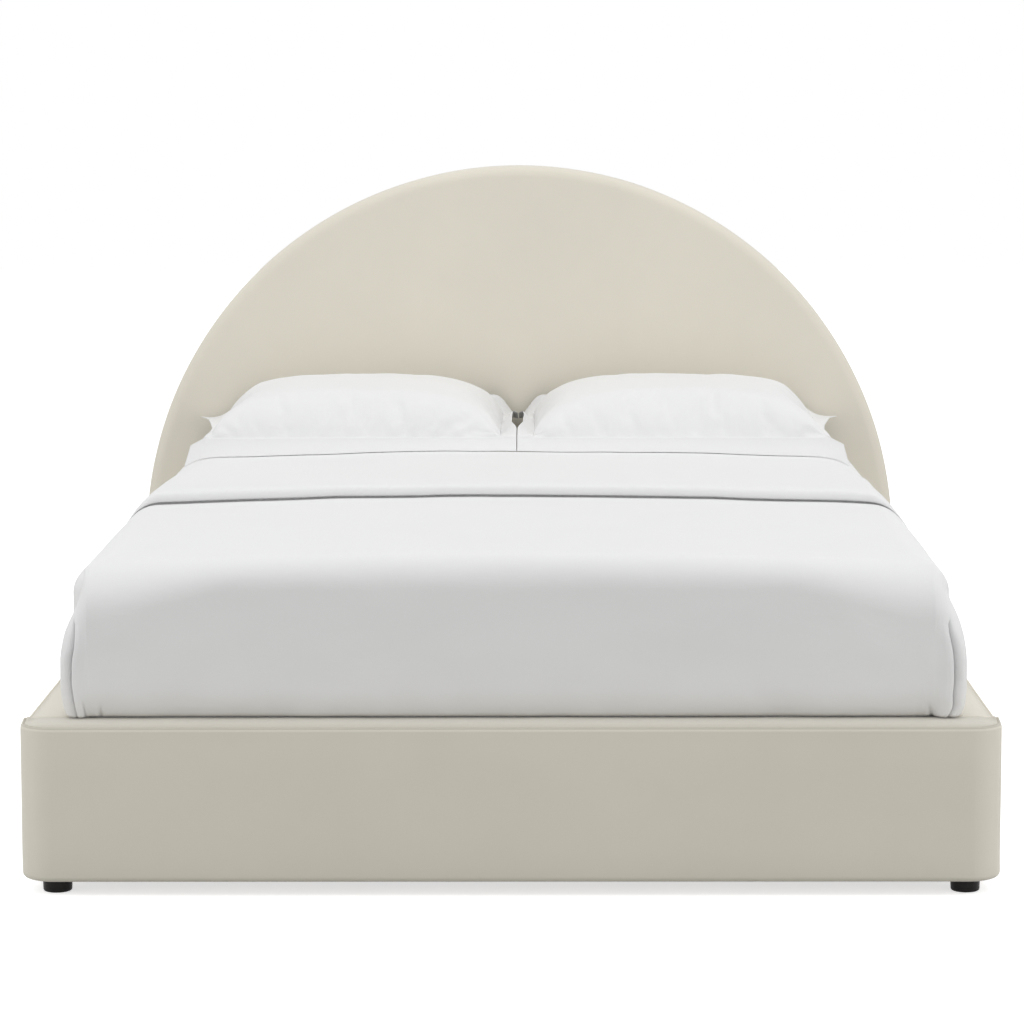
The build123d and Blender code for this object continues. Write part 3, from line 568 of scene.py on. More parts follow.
bm = block(foot_low, foot_high)
foot_back = ("y", foot_high.y)
round_edges(bm, foot_corner, 20, upright=True, y=foot_low.y)
round_edges(bm, rail_edge, 22, off=foot_back, z=foot_high.z)
round_edges(bm, bottom_edge, 6, off=foot_back, z=foot_low.z)
round_edges(bm, back_edge, 3, y=foot_high.y, z=foot_high.z)
corner_cuts = [side * place for side in both_sides for place in steps(0.806, 0.844, 0.004)]
foot_x = steps(-0.80, 0.80, 0.02) + [-open_x, open_x] + corner_cuts
foot_y = [open_front, -1.07, -1.0605] + steps(open_back, -1.024, 0.003)
cut_across(bm, x=foot_x, z=steps(0.05, 0.28, 0.02), y=foot_y)
bm.normal_update()
open_bottom(bm, lambda middle: abs(middle.x) < open_x and open_front < middle.y < open_back)
push(bm, pad_foot_rail)
upholster("foot_rail", bm, foot_cream)

# %% [markdown]
# ## The side rails
# The side rails are straight runs of the same upholstery. One is modelled on the right and the other is its
# mirror. A mirrored net is inside out, which the piece helper puts right when it recalculates the normals.

# %% Side rails
side_low, side_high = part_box("side_rail_right_cover")
inner_edge = 0.004
turned_in = 0.030


def pad_side_rail(place, normal):
    inset = side_high.x - place.x
    swell = 0.0014 + 0.0009 * ripple(place, 5.0, 8.0)
    ledge = ease(0.008, 0.03, inset) * ease(0.0, 0.012, place.x - side_low.x)
    crown = ledge * (0.0018 + 0.0008 * ripple(place, 6.0, 5.0))
    return pad_rail(place, inset, Vector((1, 0, 0)), side_low.z, side_high.z, swell, crown)


open_low, open_high = side_low.x + turned_in, side_high.x - turned_in
for side_name, side in sides:
    bm = block(side_low, side_high)
    round_edges(bm, rail_edge, 22, x=side_high.x, z=side_high.z)
    round_edges(bm, bottom_edge, 6, x=side_high.x, z=side_low.z)
    round_edges(bm, inner_edge, 4, x=side_low.x, z=side_high.z)
    side_x = [side_low.x + 0.015, open_low, open_high, side_high.x - 0.018]
    cut_across(bm, y=steps(-1.0, 1.0, 0.025), z=steps(0.05, 0.28, 0.023), x=side_x)
    bm.normal_update()
    open_bottom(bm, lambda middle: open_low < middle.x < open_high)
    ends = [face for face in bm.faces if abs(face.normal.y) > 0.99]
    bmesh.ops.delete(bm, geom=ends, context="FACES")
    push(bm, pad_side_rail)
    bmesh.ops.scale(bm, vec=(side, 1, 1), verts=bm.verts)
    upholster(f"side_rail_{side_name}", bm, side_cream)

# %% [markdown]
# ## The headboard
# The half-moon is drawn as an arc that is spun round the centre of the arch, with two straight legs down to
# the bottom. It is filled, extruded to the headboard's thickness and rounded along its front edge, where
# the foam rolls over the rim. A seam runs round the side band just behind the rounding. The cover turns in
# at the back, in a wide ring between two narrow ones that keep its shading even, and the black dust cloth
# closes the rest.

# %% Headboard
head_low, head_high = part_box("headboard_cover")
arch_radius = head_high.x
arch_centre_z = head_high.z - arch_radius
head_edge = 0.025
band_seam_y = head_low.y + 0.032
back_return = (0.002, 0.028, 0.002)


def half_moon(bm, radius, y, bottom):
    """A flat half-round face with straight legs, standing at y."""
    start = bmesh.ops.create_vert(bm, co=(radius, y, arch_centre_z))["vert"][0]
    turn = {"cent": (0, y, arch_centre_z), "axis": ahead, "angle": math.pi, "steps": 140}
    bmesh.ops.spin(bm, geom=[start], use_merge=False, use_duplicate=False, **turn)
    for end in [vert for vert in bm.verts if len(vert.link_edges) == 1]:
        leg = bmesh.ops.extrude_vert_indiv(bm, verts=[end])["verts"][0]
        leg.co.z = bottom
    bmesh.ops.contextual_create(bm, geom=[vert for vert in bm.verts if len(vert.link_edges) == 1])
    bmesh.ops.contextual_create(bm, geom=bm.edges[:])


def arch_outward(place):
    """How far a point lies inside the half-moon, and the way out."""
    if place.z <= arch_centre_z:
        return arch_radius - abs(place.x), Vector((math.copysign(1.0, place.x), 0, 0))
    arm = Vector((place.x, 0, place.z - arch_centre_z))
    return arch_radius - arm.length, arm.normalized() if arm.length > same_place else up


def pad_headboard(place, normal):
    inset, outward = arch_outward(place)
    move = Vector()
    if inset < 0.02:
        seam = hump(place.y, band_seam_y, 0.0016)
        lip = hump(place.y, band_seam_y - 0.004, 0.003) + hump(place.y, band_seam_y + 0.004, 0.003)
        height = 0.0007 * lip - 0.0017 * seam + 0.0005 * ripple(place, 6.0)
        move += outward * ease(0.02, 0.004, inset) * height
    if normal.y < -0.5:
        swell = 0.0018 * ease(0.0, 0.25, inset)
        swell += 0.0009 * ripple(place, 3.0, 2.0) + 0.0003 * ripple(place, 14.0)
        move.y -= swell * ease(0.0, 0.05, inset)
    return move


bm = bmesh.new()
half_moon(bm, arch_radius, head_low.y, head_low.z)
pulled = bmesh.ops.extrude_face_region(bm, geom=bm.faces[:], use_keep_orig=True)["geom"]
rear = [part for part in pulled if isinstance(part, bmesh.types.BMVert)]
bmesh.ops.translate(bm, vec=(0, head_high.y - head_low.y, 0), verts=rear)
bmesh.ops.recalc_face_normals(bm, faces=bm.faces)
head_sole = ("z", head_low.z)
round_edges(bm, head_edge, 10, off=head_sole, y=head_low.y)
round_edges(bm, back_edge, 3, off=head_sole, y=head_high.y)
bm.normal_update()
back_face = [face for face in bm.faces if face.normal.y > 0.99 and face.calc_area() > 0.5]
for width in back_return:
    bmesh.ops.inset_region(bm, faces=back_face, thickness=width, use_even_offset=True)
bmesh.ops.delete(bm, geom=back_face, context="FACES")
band_y = steps(band_seam_y - 0.008, band_seam_y + 0.008, 0.001) + [band_seam_y + 0.02, band_seam_y + 0.035]
cut_across(bm, x=steps(-0.81, 0.81, 0.03), z=steps(0.056, 1.16, 0.03), y=band_y)
push(bm, pad_headboard)
upholster("headboard", bm, headboard_cream)

# %% [markdown]
# The dust cloth is a thin sheet stapled over the back of the frame. It is drawn with the same half-moon,
# cut to its CAD outline, and hangs a little slack between the timbers, with a folded hem round its edge.

# %% Dust cloth
cloth_low, cloth_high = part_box("headboard_back_cloth")
dust_cloth_thickness = 0.0008


def slacken_cloth(place, normal):
    arm = Vector((place.x, 0, max(0.0, place.z - arch_centre_z)))
    inset = min(cloth_high.x - arm.length, place.z - cloth_low.z)
    hem = 0.0006 * ease(0.022, 0.018, inset)
    sag = ease(0.03, 0.2, inset) * (0.0010 + 0.0012 * ripple(place, 4.0) + 0.0006 * ripple(place, 13.0, 4.0))
    return Vector((0, hem - max(0.0, sag) * 0.4, 0))


bm = bmesh.new()
half_moon(bm, cloth_high.x, cloth_high.y, cloth_low.z)
cloth_x, cloth_z = (steps(cloth_low[axis] + 0.02, cloth_high[axis] - 0.02, 0.025) for axis in (0, 2))
cut_across(bm, x=cloth_x, z=cloth_z)
push(bm, slacken_cloth)
dust_cloth = make_piece(
    "headboard_dust_cloth", bm, black_dust_cloth, "bed_frame", ["headboard_back_cloth"]
)
thicken(dust_cloth, dust_cloth_thickness)

# %% [markdown]
# ## The slat tapes
# Two woven tapes are stapled across the slats, so that they keep their pitch. Between two slats a tape sags
# by a millimetre and a half. Each is a strip of its own, cut across finely enough to sag.

# %% Slat tapes
tape_low, tape_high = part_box("slat_straps")
slat_low, slat_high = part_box("slats")
slat_count = 13
slat_width = 0.070
slat_pitch = (slat_high.y - slat_low.y - slat_width) / (slat_count - 1)
tape_width, tape_thickness = 0.025, 0.0009
tape_length = tape_high.y - tape_low.y


def sag_tape(place, normal):
    share = ((place.y - slat_low.y) % slat_pitch) / slat_pitch
    covered = slat_width / slat_pitch
    gap = max(0.0, share - covered) / (1 - covered)
    return up * (-0.0015 * math.sin(math.pi * gap))


for side_name, side in sides:
    middle_x = side * (tape_high.x - tape_width / 2)
    bm = bmesh.new()
    bmesh.ops.create_grid(bm, x_segments=2, y_segments=240, size=0.5)
    bmesh.ops.scale(bm, vec=(tape_width, tape_length, 1), verts=bm.verts)
    bmesh.ops.translate(bm, vec=(middle_x, (tape_low.y + tape_high.y) / 2, tape_high.z), verts=bm.verts)
    push(bm, sag_tape)
    tape = make_piece(f"slat_tape_{side_name}", bm, off_white_tape, "bed_frame", ["slat_straps"])
    thicken(tape, tape_thickness)

# %% [markdown]
# ## Mattress and fitted sheet
# The mattress is a soft block with rounded edges. The sheet is the same block a hair larger, with its
# bottom open behind a 12 cm hem. Only a glimpse of it shows between the pillows, but it comes into view
# when the duvet is lifted.

# %% Mattress and sheet
bed_low, bed_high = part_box("mattress_ticking")
sheet_low, sheet_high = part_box("fitted_sheet")
sheet_rise = sheet_high.z - bed_high.z
mattress_corner = 0.060
mattress_edge = 0.045
wall_lines = [0.31, 0.36, 0.40, 0.45, 0.50]
hem_reach = 0.120
sheet_thickness = 0.0006


def mattress_block(low, high, grown):
    """A block with the mattress's rounding, grown by this much."""
    bm = block(low, high)
    round_edges(bm, mattress_corner + grown, 12, upright=True)
    for rim in (low[2], high[2]):
        round_edges(bm, mattress_edge + grown, 8, z=rim)
    return bm


def settle_mattress(place, normal):
    """The knit sinks by a hair where the filling is soft."""
    return -normal * 0.0012 * max(0.0, ripple(place, 6.0, 1.0))


bm = mattress_block(bed_low, bed_high, 0.0)
cut_across(bm, x=steps(-0.70, 0.70, 0.05), y=steps(-0.95, 0.95, 0.05), z=wall_lines)
push(bm, settle_mattress)
filled = ["mattress_ticking", "mattress_core"]
mattress_cover = make_piece("mattress_cover", bm, ticking_knit, "mattress", filled)

bm = mattress_block(sheet_low, sheet_high, sheet_rise)
hem_x, hem_y = bed_high.x - hem_reach, bed_high.y - hem_reach
sheet_x = [-hem_x, hem_x] + steps(-0.62, 0.62, 0.04)
sheet_y = [-hem_y, hem_y] + steps(-0.88, 0.88, 0.04)
cut_across(bm, x=sheet_x, y=sheet_y, z=wall_lines)
bm.normal_update()
open_bottom(bm, lambda middle: abs(middle.x) < hem_x and abs(middle.y) < hem_y)
mattress_sheet = make_piece("mattress_sheet", bm, sheet_percale, "mattress", ["fitted_sheet"])
thicken(mattress_sheet, sheet_thickness)

# %% [markdown]
# ## The duvet
# The duvet hangs over both sides and the foot, and its top end is turned back over itself. It starts as a
# block of its CAD size. Soft edges, a fine net and a set of pushes make the drape: a nearly flat top with a
# low crown, round shoulders that grow fuller away from the foot, and sides that hang slim and tuck in at
# the hem. Where the cloth turns the front corner it is folded in a pleat.

# %% Duvet sizes
duvet_low, duvet_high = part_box("duvet")
duvet_side = 0.794
duvet_foot = duvet_low.y
duvet_head = duvet_high.y
duvet_hem = duvet_low.z
duvet_top = 0.591
duvet_corner = 0.060
duvet_plan = (duvet_side, duvet_foot, duvet_corner)
soft_edge = 0.056
side_shoulder = (0.095, 0.130)
foot_shoulder = (0.052, 0.044)
band_loft = 0.027
band_side = 0.007
quilt_edge_height = 0.573
hem_lines = steps(-0.187, -0.151, 0.003)


def shoulder_height(inset, reach, fall):
    """Height of a quarter-ellipse shoulder below the flat top, at this inset from the side."""
    share = min(1.0, max(0.0, (reach - inset) / reach))
    return fall * (1 - math.sqrt(1 - share**2))


def puff(place, broad, middling, fine):
    """The loft of the filling comes and goes by a few millimetres."""
    layers = ((broad, 2.6, 4.0), (middling, 7.0, 9.0), (fine, 19.0, 2.0))
    return sum(height * ripple(place, scale, shift) for height, scale, shift in layers)


def quilt_top(place):
    """Height of the quilt's top and shoulders, before the turned-back end is added."""
    inset, outward = way_out(place, *duvet_plan)
    from_side = duvet_side - abs(place.x)
    from_foot = place.y - duvet_foot
    side_share = ease(-0.05, 0.05, from_foot - from_side)
    droop = ease(0.46, 0.74, abs(place.x))
    reach = side_shoulder[0] + 0.065 * ease(-0.1, 0.45, place.y)
    side_fall = shoulder_height(inset, reach, side_shoulder[1])
    foot_drop = foot_shoulder[1] + 0.054 * droop
    foot_fall = shoulder_height(inset, foot_shoulder[0] + 0.052 * droop, foot_drop)
    fall = side_fall * side_share + foot_fall * (1 - side_share)
    loft = puff(Vector((place.x, place.y, 0)), 0.0026, 0.0015, 0.0005)
    crown = 0.014 * (1 - min(1.0, abs(place.x) / 0.70) ** 2) + loft * ease(0.02, 0.09, inset)
    fullest = max(side_shoulder[1] * side_share + foot_drop * (1 - side_share), 0.01)
    return quilt_edge_height + crown * (1 - fall / fullest) - fall, fullest

# %% Duvet block
bm = block((-duvet_side, duvet_foot, duvet_hem), (duvet_side, duvet_head, duvet_top))
head_end = ("y", duvet_head)
round_edges(bm, duvet_corner, 12, upright=True, y=duvet_foot)
round_edges(bm, soft_edge, 8, off=head_end, z=duvet_top)
round_edges(bm, 0.006, 2, off=head_end, z=duvet_hem)
fine_x = [side * place for side in both_sides for place in steps(0.7000, 0.7825, 0.0025)]
duvet_y = steps(-0.984, -0.204, 0.026) + hem_lines + steps(-0.130, 0.42, 0.025)
duvet_y += [0.432, 0.442, 0.450, 0.456, 0.460]
cut_across(bm, x=steps(-0.675, 0.675, 0.025) + fine_x, y=duvet_y, z=steps(0.309, 0.53, 0.0115))
print("duvet net", len(bm.faces), "faces")

# %% [markdown]
# The turned-back end is the same quilt, folded over. It could be a second layer, but in the photograph only
# its rolled hem tells the two apart. So the close cut lines across the bed are led along the outline of a
# hem: along the quilt, under the roll, out round its edge and back over its top. The dark line under the
# roll comes by itself.

# %% Drape
hem_outline = [(-0.187, 0.0), (-0.178, 0.0), (-0.170, 0.0), (-0.162, -0.0002), (-0.1560, 0.0008)]
hem_outline += [(-0.1575, 0.0030), (-0.1680, 0.0038), (-0.1745, 0.0058), (-0.1765, 0.0110)]
hem_outline += [(-0.1765, 0.0175), (-0.1735, 0.0232), (-0.1650, 0.0262), (-0.1510, 0.0270)]


def follow(line, value):
    """The height of a broken line over this value."""
    for first, second in zip(line, line[1:]):
        if value <= second[0]:
            share = max(0.0, (value - first[0]) / (second[0] - first[0]))
            return first[1] + (second[1] - first[1]) * share
    return line[-1][1]


hem_y_line, hem_height_line = (list(zip(hem_lines, places)) for places in zip(*hem_outline))


def hem_roll(y):
    """Where a cut line goes: its new y, and its height over the quilt."""
    if hem_lines[0] < y < hem_lines[-1]:
        return follow(hem_y_line, y), follow(hem_height_line, y)
    return y, band_loft if y > hem_lines[0] else 0.0


pleat_left = [(0.300, 0.756), (0.331, 0.759), (0.364, 0.763), (0.402, 0.762), (0.423, 0.758), (0.461, 0.758)]
pleat_right = [(0.303, 0.76), (0.319, 0.767), (0.343, 0.765), (0.364, 0.768), (0.416, 0.766), (0.456, 0.76)]
pleat_net = 0.7625
tucks = [(-0.744, 0.335, 0.0), (-0.713, 0.322, 0.05), (0.732, 0.330, -0.30)]
pull_height = 0.532


def pleat(place, outward):
    """The fold at each front corner and the tucks in the hem beside it, as a push of the outside."""
    if place.y > -0.97:
        return Vector()
    left = place.x < 0
    side = -1 if left else 1
    along = Vector((-outward.y, outward.x, 0)) / max(0.3, abs(outward.y))
    depth = ease(0.475, 0.445, place.z)
    wander = follow(pleat_left if left else pleat_right, place.z) - pleat_net
    from_net = abs(place.x) - pleat_net
    near = hump(from_net, 0.0, 0.0045)
    move = along * side * (wander * hump(from_net, 0.0, 0.018) - 0.60 * from_net * near) * depth
    lip = 0.0034 * hump(from_net, 0.0090, 0.006) + 0.0026 * hump(from_net, -0.009, 0.007)
    height = depth * (lip - 0.0260 * hump(from_net, 0.0, 0.0016))
    for x, top, lean in tucks:
        aside = place.x - x - lean * (place.z - 0.30)
        height -= 0.0085 * hump(aside, 0.0, 0.0030) * ease(top, 0.305, place.z)
    return move + outward * height


def gathers(place):
    """Small folds that stand up from the hem of the foot and of the sides."""
    along = place.x if place.y < duvet_foot + 0.02 else place.y
    broad = noise.noise(Vector((along * 17, place.z * 5, 3.0)))
    fine = noise.noise(Vector((along * 46, place.z * 9, 7.0)))
    return 0.0036 * ease(0.375, 0.30, place.z) * (broad + 0.6 * fine)


def side_swing(place, at_side):
    """How far the hang is led inwards: slim, tucked in at the hem, and drawn in at the front corners."""
    left = place.x < 0
    slim = 0.010 + 0.006 * ease(-0.60, -0.95, place.y) if left else 0.005
    tucked = shoulder_height(place.z - duvet_hem, 0.055, 1.0)
    at_corner = 4 * at_side * (1 - at_side) if place.y < -0.95 else 0
    foot_tuck = (0.022 - 0.012 * at_corner) * tucked
    side_tuck = (0.012 - 0.004 * at_corner) * tucked
    pulled = 0.036 if left else 0.018
    drawn = pulled * ease(-0.55, -0.97, place.y) * hump(place.z, pull_height, 0.055)
    return -(slim + side_tuck + drawn) * at_side - foot_tuck * (1 - at_side)


draped_filling = 0.0050


def clear_of_mattress(point, least):
    """The push that keeps the outside of the quilt at least this far from the sheet."""
    edge = mattress_edge + sheet_rise
    inset, outward = way_out(point, sheet_high.x, sheet_low.y, mattress_corner + sheet_rise)
    across = max(edge - inset, 0)
    above = max(point.z - (sheet_high.z - edge), 0)
    reach = math.hypot(across, above)
    if reach < same_place or reach - edge >= least:
        return Vector()
    return (outward * across + up * above) / reach * (least - reach + edge)


def drape_duvet(place, normal):
    inset, outward = way_out(place, *duvet_plan)
    new_y, loft = hem_roll(place.y)
    top, fullest = quilt_top(place)
    bevel_foot = duvet_top - soft_edge
    shoulder_foot = quilt_edge_height - fullest
    if place.z >= bevel_foot:
        new_z = top
    else:
        new_z = duvet_hem + (place.z - duvet_hem) * (shoulder_foot - duvet_hem) / (bevel_foot - duvet_hem)
    settled = Vector((place.x, place.y, new_z))
    facing = ease(soft_edge, 0.0, inset)
    at_side = abs(outward.x)
    upright = facing * ease(0.56, 0.47, new_z)
    move = up * (new_z - place.z)
    move += outward * facing * side_swing(settled, at_side)
    move += upright * (outward * gathers(settled) + pleat(settled, outward))
    swell = puff(place, 0.0028, 0.0016, 0.0006) * ease(duvet_hem, duvet_hem + 0.02, new_z)
    move += outward * facing * swell
    squarer = 0.0145 * (2 * abs(outward.x * outward.y)) ** 1.5 * ease(0.50, 0.40, new_z)
    move += outward * facing * squarer
    move.z += 0.0024 * ease(duvet_hem + 0.02, duvet_hem, new_z) * facing
    over = ease(0.015, 0.11, inset)
    move += (outward * facing * band_side * (1 - over) + up * band_loft * over) * (loft / band_loft)
    share = band_side / band_loft + (1 - band_side / band_loft) * over
    hem_wave = 0.005 * noise.noise(Vector((place.x * 3.1, 1.5, 0))) * hump(place.y, -0.169, 0.03)
    move.y += (new_y - place.y) * share + hem_wave
    if inset < 0.02 or place.z >= bevel_foot:
        move += clear_of_mattress(place + move, draped_filling)
    return move


def round_head_end(place, normal):
    """The fold at the head end is round: its edges turn towards the middle of the thickness."""
    near = ease(duvet_head - 0.024, duvet_head, place.y)
    if near <= 0 or place.z < 0.56:
        return Vector()
    return up * (-0.012 * near**2)


push(bm, drape_duvet)
push(bm, round_head_end)
duvet_cover = make_piece("duvet_cover", bm, duvet_percale, "duvet", ["duvet"], crisp=60)
smooth_once(duvet_cover)
apply_modifiers(duvet_cover)

# %% [markdown]
# Smoothing draws rounded corners in a little. Where that brings the outside of the quilt too near the
# mattress, it is pushed out again, so that the filling never wears through at the corners.

# %% Filling kept over the mattress's edges
least_filling = 0.0045
for vert in duvet_cover.data.vertices:
    if vert.co.z > duvet_hem + 0.012 and vert.co.y < duvet_head - 0.03:
        vert.co += clear_of_mattress(vert.co, least_filling)
duvet_cover.data.update()

# %% [markdown]
# The duvet is soft and lies against the mattress, so its inside is the mattress's outside. The same block
# that made the mattress, grown by a little under a millimetre, is taken out of it.

# %% Pocket for the mattress
pocket_gap = 0.0008
pocket_low = [value - pocket_gap for value in sheet_low]
pocket_high = [value + pocket_gap for value in sheet_high]
bm = mattress_block(pocket_low, pocket_high, sheet_rise + pocket_gap)
bmesh.ops.recalc_face_normals(bm, faces=bm.faces)
pocket = net_object("pocket", bm)
carve = duvet_cover.modifiers.new("pocket", "BOOLEAN")
carve.operation = "DIFFERENCE"
carve.solver = "EXACT"
carve.object = pocket
apply_modifiers(duvet_cover)
bpy.data.meshes.remove(pocket.data)
duvet_cover.data.set_sharp_from_angle(angle=math.radians(50))
print("duvet", len(duvet_cover.data.polygons), "faces")

# %% [markdown]
# ## The pillows
# Each sham is two panels sewn together 42 mm inside their edge, so that a flat flange runs all round a
# stuffed body. The mesh is one thin slab, cut at the seam. The body's upper and lower net are crowned, and
# then inflated by a short cloth simulation with the flange held still, which gives the full sides and the
# puckers along the seam that a formula would only imitate.

# %% Pillow start form
pillow_half = (0.320, 0.250)
flange_reach = 0.042
pillow_centre = Vector((0.355, 0.714, 0.633))
pillow_crown = 0.097
pillow_belly = 0.070
flange_thickness = 0.0022
beyond_seam = (0.0015, 0.003, 0.0045, 0.0105, 0.021, 0.0315)
inside_seam = (0, 0.0015, 0.003, 0.006, 0.011, 0.017)


def pillow_height(a, b):
    across = max(0.0, 1 - abs(a / pillow_half[0]) ** 3.3)
    along = max(0.0, 1 - abs(b / pillow_half[1]) ** 4.2)
    return (across * along) ** 0.52


def seam_lines(half):
    close = [half + place for place in beyond_seam] + [half - place for place in inside_seam]
    mirrored = [side * place for side in both_sides for place in close]
    return mirrored + steps(-half + 0.025, half - 0.025, 0.0105)


def pillow_slab(name):
    """The flat slab with its body crowned, as a plain object at the origin."""
    outer = [half + flange_reach for half in pillow_half] + [flange_thickness / 2]
    bm = block([-value for value in outer], outer)
    round_edges(bm, 0.008, 3, upright=True)
    cut_across(bm, x=seam_lines(pillow_half[0]), y=seam_lines(pillow_half[1]))

    def crown(place, normal):
        height = pillow_height(place.x, place.y)
        return up * (pillow_crown * height if place.z > 0 else -pillow_belly * height)

    push(bm, crown)
    bmesh.ops.recalc_face_normals(bm, faces=bm.faces)
    return net_object(name, bm)

# %% Inflation
last_frame = 22
furthest_blown = 0.014
cloth_values = {
    "quality": 6,
    "mass": 0.25,
    "tension_stiffness": 18,
    "compression_stiffness": 18,
    "shear_stiffness": 6,
    "bending_stiffness": 0.35,
    "shrink_min": -0.035,
    "use_pressure": True,
    "uniform_pressure_force": 4.0,
    "vertex_group_mass": "held",
}


def inflate(slab, start, shift):
    """Where each point of the slab goes from its start when the body is blown up, by at most 14 mm."""
    for vert in slab.data.vertices:
        if pillow_height(vert.co.x, vert.co.y) > 0:
            vert.co += up * (0.0012 * ripple(vert.co, 24.0, shift))
    flange = [index for index, place in enumerate(start) if pillow_height(place.x, place.y) <= 0]
    slab.vertex_groups.new(name="held").add(flange, 1.0, "REPLACE")
    cloth = slab.modifiers.new("cloth", "CLOTH")
    for setting, value in cloth_values.items():
        setattr(cloth.settings, setting, value)
    cloth.settings.effector_weights.gravity = 0
    cloth.collision_settings.use_collision = False
    scene = bpy.context.scene
    for number in range(1, last_frame + 1):
        scene.frame_set(number)
    graph = bpy.context.evaluated_depsgraph_get()
    blown = [vert.co.copy() for vert in slab.evaluated_get(graph).data.vertices]
    scene.frame_set(1)
    slab.modifiers.clear()
    moved = []
    for before, after in zip(start, blown):
        way = after - before
        moved.append(before + way * min(1.0, furthest_blown / max(way.length, 1e-9)))
    furthest = max((after - before).length for before, after in zip(start, moved))
    print(slab.name, "moved by up to", round(furthest * 1000, 1), "mm")
    return moved

# %% [markdown]
# A blown-up sham still lies flat and stiff. In place its front edge rides up on the turned-back duvet, its
# front flange slopes down on it, the rear flange leans up against the headboard and the two inner flanges
# push each other upright. Each flange is turned about its seam, by an angle that eases off towards the
# corners.

# %% Laying the pillows
front_turn = math.radians(-58)
rear_degrees = 58
inner_degrees = 52
outer_degrees = -26
cloth_gap = 0.0006
head_gap = 0.003


def rear_share(a):
    """How far the rear flange stands up: less towards the outer corner, and up to the inner one."""
    return ease(0.345, 0.24, a) if a > 0 else ease(0.360, 0.300, -a)


def flange_turns(a, b, shift):
    """Turn of the side flange and of the rear flange at this place, in radians."""
    wobble = 6 * noise.noise(Vector((a * 9, b * 9, shift)))
    if a < 0:
        side_turn = inner_degrees * ease(-0.25, -0.13, b) * ease(0.30, 0.12, b) + wobble * 0.5
    else:
        side_turn = outer_degrees * ease(-0.08, -0.25, b) + 5 * ease(0.1, 0.2, b) + wobble
    rear_turn = rear_degrees * rear_share(a) + wobble * 0.5
    return math.radians(side_turn), math.radians(rear_turn)


def lay(place, shift, side):
    """From the flat pillow to its place on the right side of the bed. The left one is its mirror."""
    a, b, height = place
    side_turn, rear_turn = flange_turns(a, b, shift)
    end_turn = rear_turn if b > 0 else front_turn
    beyond_a = max(0.0, abs(a) - pillow_half[0])
    beyond_b = max(0.0, abs(b) - pillow_half[1])
    new_a = math.copysign(abs(a) - beyond_a * (1 - math.cos(side_turn)), a)
    new_b = math.copysign(abs(b) - beyond_b * (1 - math.cos(end_turn)), b)
    waist = 0.105 if a > 0 else 0.010
    new_a *= 1 - waist * (1 - min(1.0, abs(b) / 0.292) ** (1.6 if b > 0 else 2.6))
    new_a += 0.013 * ease(0.24, 0.29, b) * ease(0.30, 0.36, a)
    new_b -= 0.010 * ease(-0.15, -0.25, b) * ease(0.35, 0.25, abs(a))
    new_b *= 1 - 0.024 * (1 - min(1.0, abs(a) / 0.362) ** 2)
    lift = beyond_a * math.sin(side_turn) + 0.011 * ease(-0.12, -0.25, b)
    lift += 0.022 * ease(0.08, 0.25, b) * rear_share(a)
    if b > 0:
        lift += beyond_b * math.sin(rear_turn)
    laid = pillow_centre + Vector((new_a, new_b, height + lift))
    if b < 0 and beyond_b > 0:
        over = ease(0.015, 0.11, duvet_side - abs(laid.x))
        below = Vector((side * laid.x, min(laid.y, 0.438), 0))
        quilt = quilt_top(below)[0] + band_loft * over + cloth_gap
        share = min(1.0, beyond_b / flange_reach)
        laid.z += (quilt + height - laid.z) * share**0.8
    laid.x = max(laid.x, cloth_gap)
    laid.z = max(laid.z, sheet_high.z + cloth_gap)
    if laid.z < 0.622 and laid.y < duvet_head + head_gap and beyond_b == 0:
        laid.y = duvet_head + head_gap
    return laid


for side_name, side, shift in (("left", -1, 2.0), ("right", 1, 9.0)):
    slab = pillow_slab(f"pillow_start_{side_name}")
    flat = [vert.co.copy() for vert in slab.data.vertices]
    blown = inflate(slab, flat, shift)
    bm = bmesh.new()
    bm.from_mesh(slab.data)
    bm.verts.ensure_lookup_table()
    for vert, before, after in zip(bm.verts, flat, blown):
        from_seam = max(abs(before.x) - pillow_half[0], abs(before.y) - pillow_half[1])
        ridge = 0.0020 * hump(from_seam, 0.0034, 0.0016) - 0.0022 * hump(from_seam, -0.0008, 0.0016)
        crease = 0.0022 * ripple(after, 8.0, shift) + 0.0012 * ripple(after, 21.0, shift + 3)
        rise = ridge if before.z > 0 else -ridge
        if before.z > 0 and pillow_height(before.x, before.y) > 0:
            rise += crease
        vert.co = lay(after + up * rise, shift, side)
    bmesh.ops.scale(bm, vec=(side, 1, 1), verts=bm.verts)
    bpy.data.objects.remove(slab)
    name = f"pillow_{side_name}"
    stuffed = [f"pillow_sham_{side_name}", f"pillow_insert_{side_name}"]
    pillow = make_piece(name, bm, sham_percale, name, stuffed, crisp=70)
    smooth_once(pillow)

# %% [markdown]
# ## Floor and light
# A product photograph like this is taken in a white studio. The world is an even white, a little weaker for
# what it lights than for what the camera sees. A broad sun from nearly straight above makes the tops
# lighter than the fronts. A wide box lamp hangs over the bed, and one stands at each side in front of it.
# The floor is white where the camera sees it and keeps the bed's own shadow.

# %% Studio
fill_light = 0.58
floor_glow = 0.65
floor_size = 20


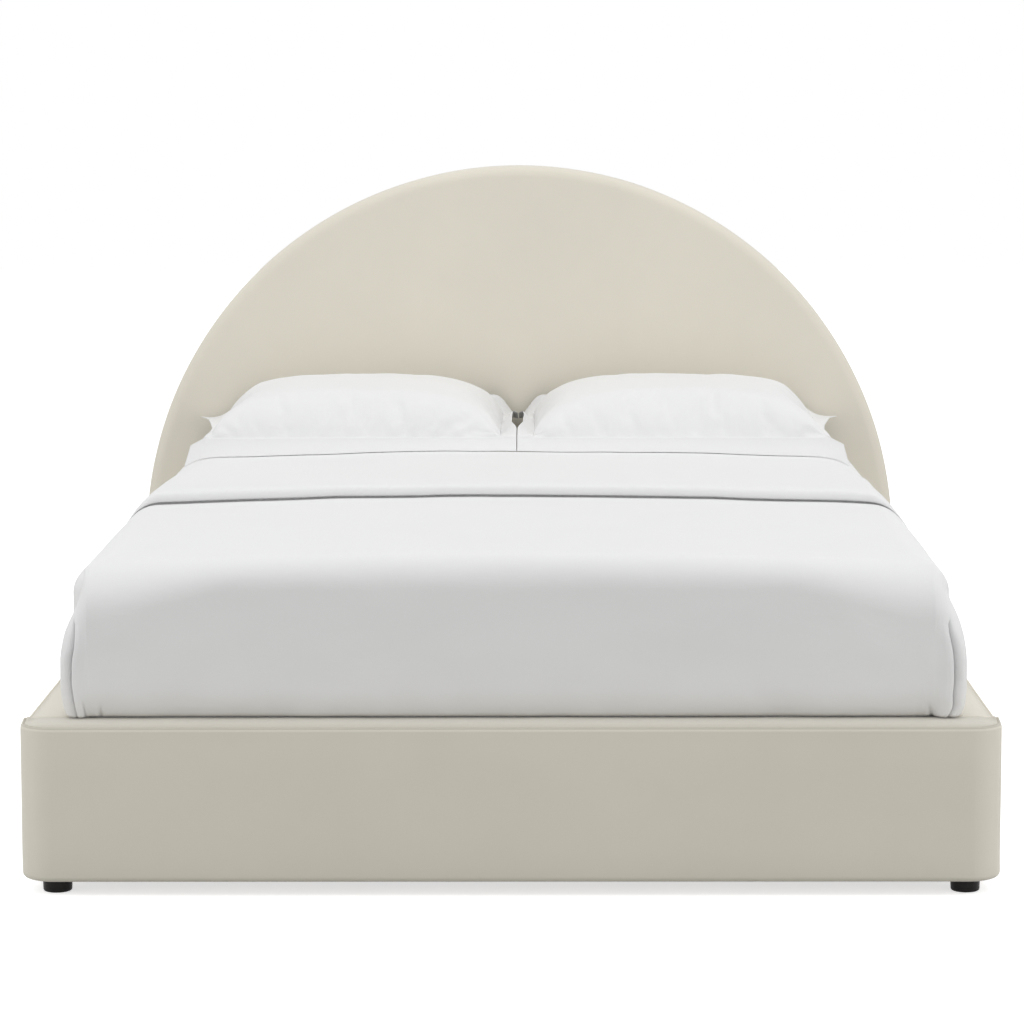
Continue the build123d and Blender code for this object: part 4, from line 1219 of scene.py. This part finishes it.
def looked_at(tree):
    """1 for a ray that comes from the camera, straight, mirrored or through glass, and 0 for any other."""
    paths = tree.nodes.new("ShaderNodeLightPath")
    camera, glossy, through = (
        Value(tree, paths.outputs[f"Is {kind} Ray"]) for kind in ("Camera", "Glossy", "Transmission")
    )
    return camera + glossy + through


world = bpy.data.worlds.new("studio")
bpy.context.scene.world = world
world.use_nodes = True
backdrop = world.node_tree.nodes["Background"]
backdrop.inputs["Color"].default_value = (1, 1, 1, 1)
level = fill_light + (1 - fill_light) * looked_at(world.node_tree)
world.node_tree.links.new(level.socket, backdrop.inputs["Strength"])

ground = Finish("studio_floor")
ground.tree.nodes.remove(ground.shader)
bounced = ground.node("ShaderNodeBsdfDiffuse", inputs={"Color": (0.47, 0.47, 0.46, 1)})
white = ground.node("ShaderNodeBsdfDiffuse", inputs={"Color": (0.95, 0.95, 0.95, 1)})
glow = ground.node("ShaderNodeEmission", inputs={"Color": (1, 1, 1, 1), "Strength": floor_glow})
bright = ground.node("ShaderNodeAddShader", inputs={0: white, 1: glow})
look = ground.node("ShaderNodeMixShader", inputs={0: looked_at(ground.tree), 1: bounced, 2: bright})
ground.tree.links.new(look.socket, ground.tree.nodes["Material Output"].inputs["Surface"])
bm = bmesh.new()
bmesh.ops.create_grid(bm, x_segments=1, y_segments=1, size=floor_size)
studio_floor = net_object("studio_floor", bm)
studio_floor.data.materials.append(ground.material)


def add_lamp(name, kind, place, target, power, **settings):
    data = bpy.data.lights.new(name, kind)
    data.energy = power
    for setting, value in settings.items():
        setattr(data, setting, value)
    lamp = add_object(name, data)
    lamp.location = place
    lamp.rotation_euler = (Vector(target) - lamp.location).to_track_quat("-Z", "Y").to_euler()


add_lamp("ceiling", "SUN", (0.3, -0.4, 5.0), (0, 0, 0), 0.98, angle=math.radians(70))
add_lamp("overhead_box", "AREA", (0, -0.8, 3.6), (0, 1.0, 1.2), 4, shape="RECTANGLE", size=3.5, size_y=1.5)
for side_name, side, power in (("left", -1, 42), ("right", 1, 46)):
    box_place = (side * 4.6, -2.2, 1.7)
    add_lamp(f"{side_name}_box", "AREA", box_place, (0, 0, 0.5), power, shape="SQUARE", size=3.2)
bpy.context.scene.view_settings.view_transform = "Standard"
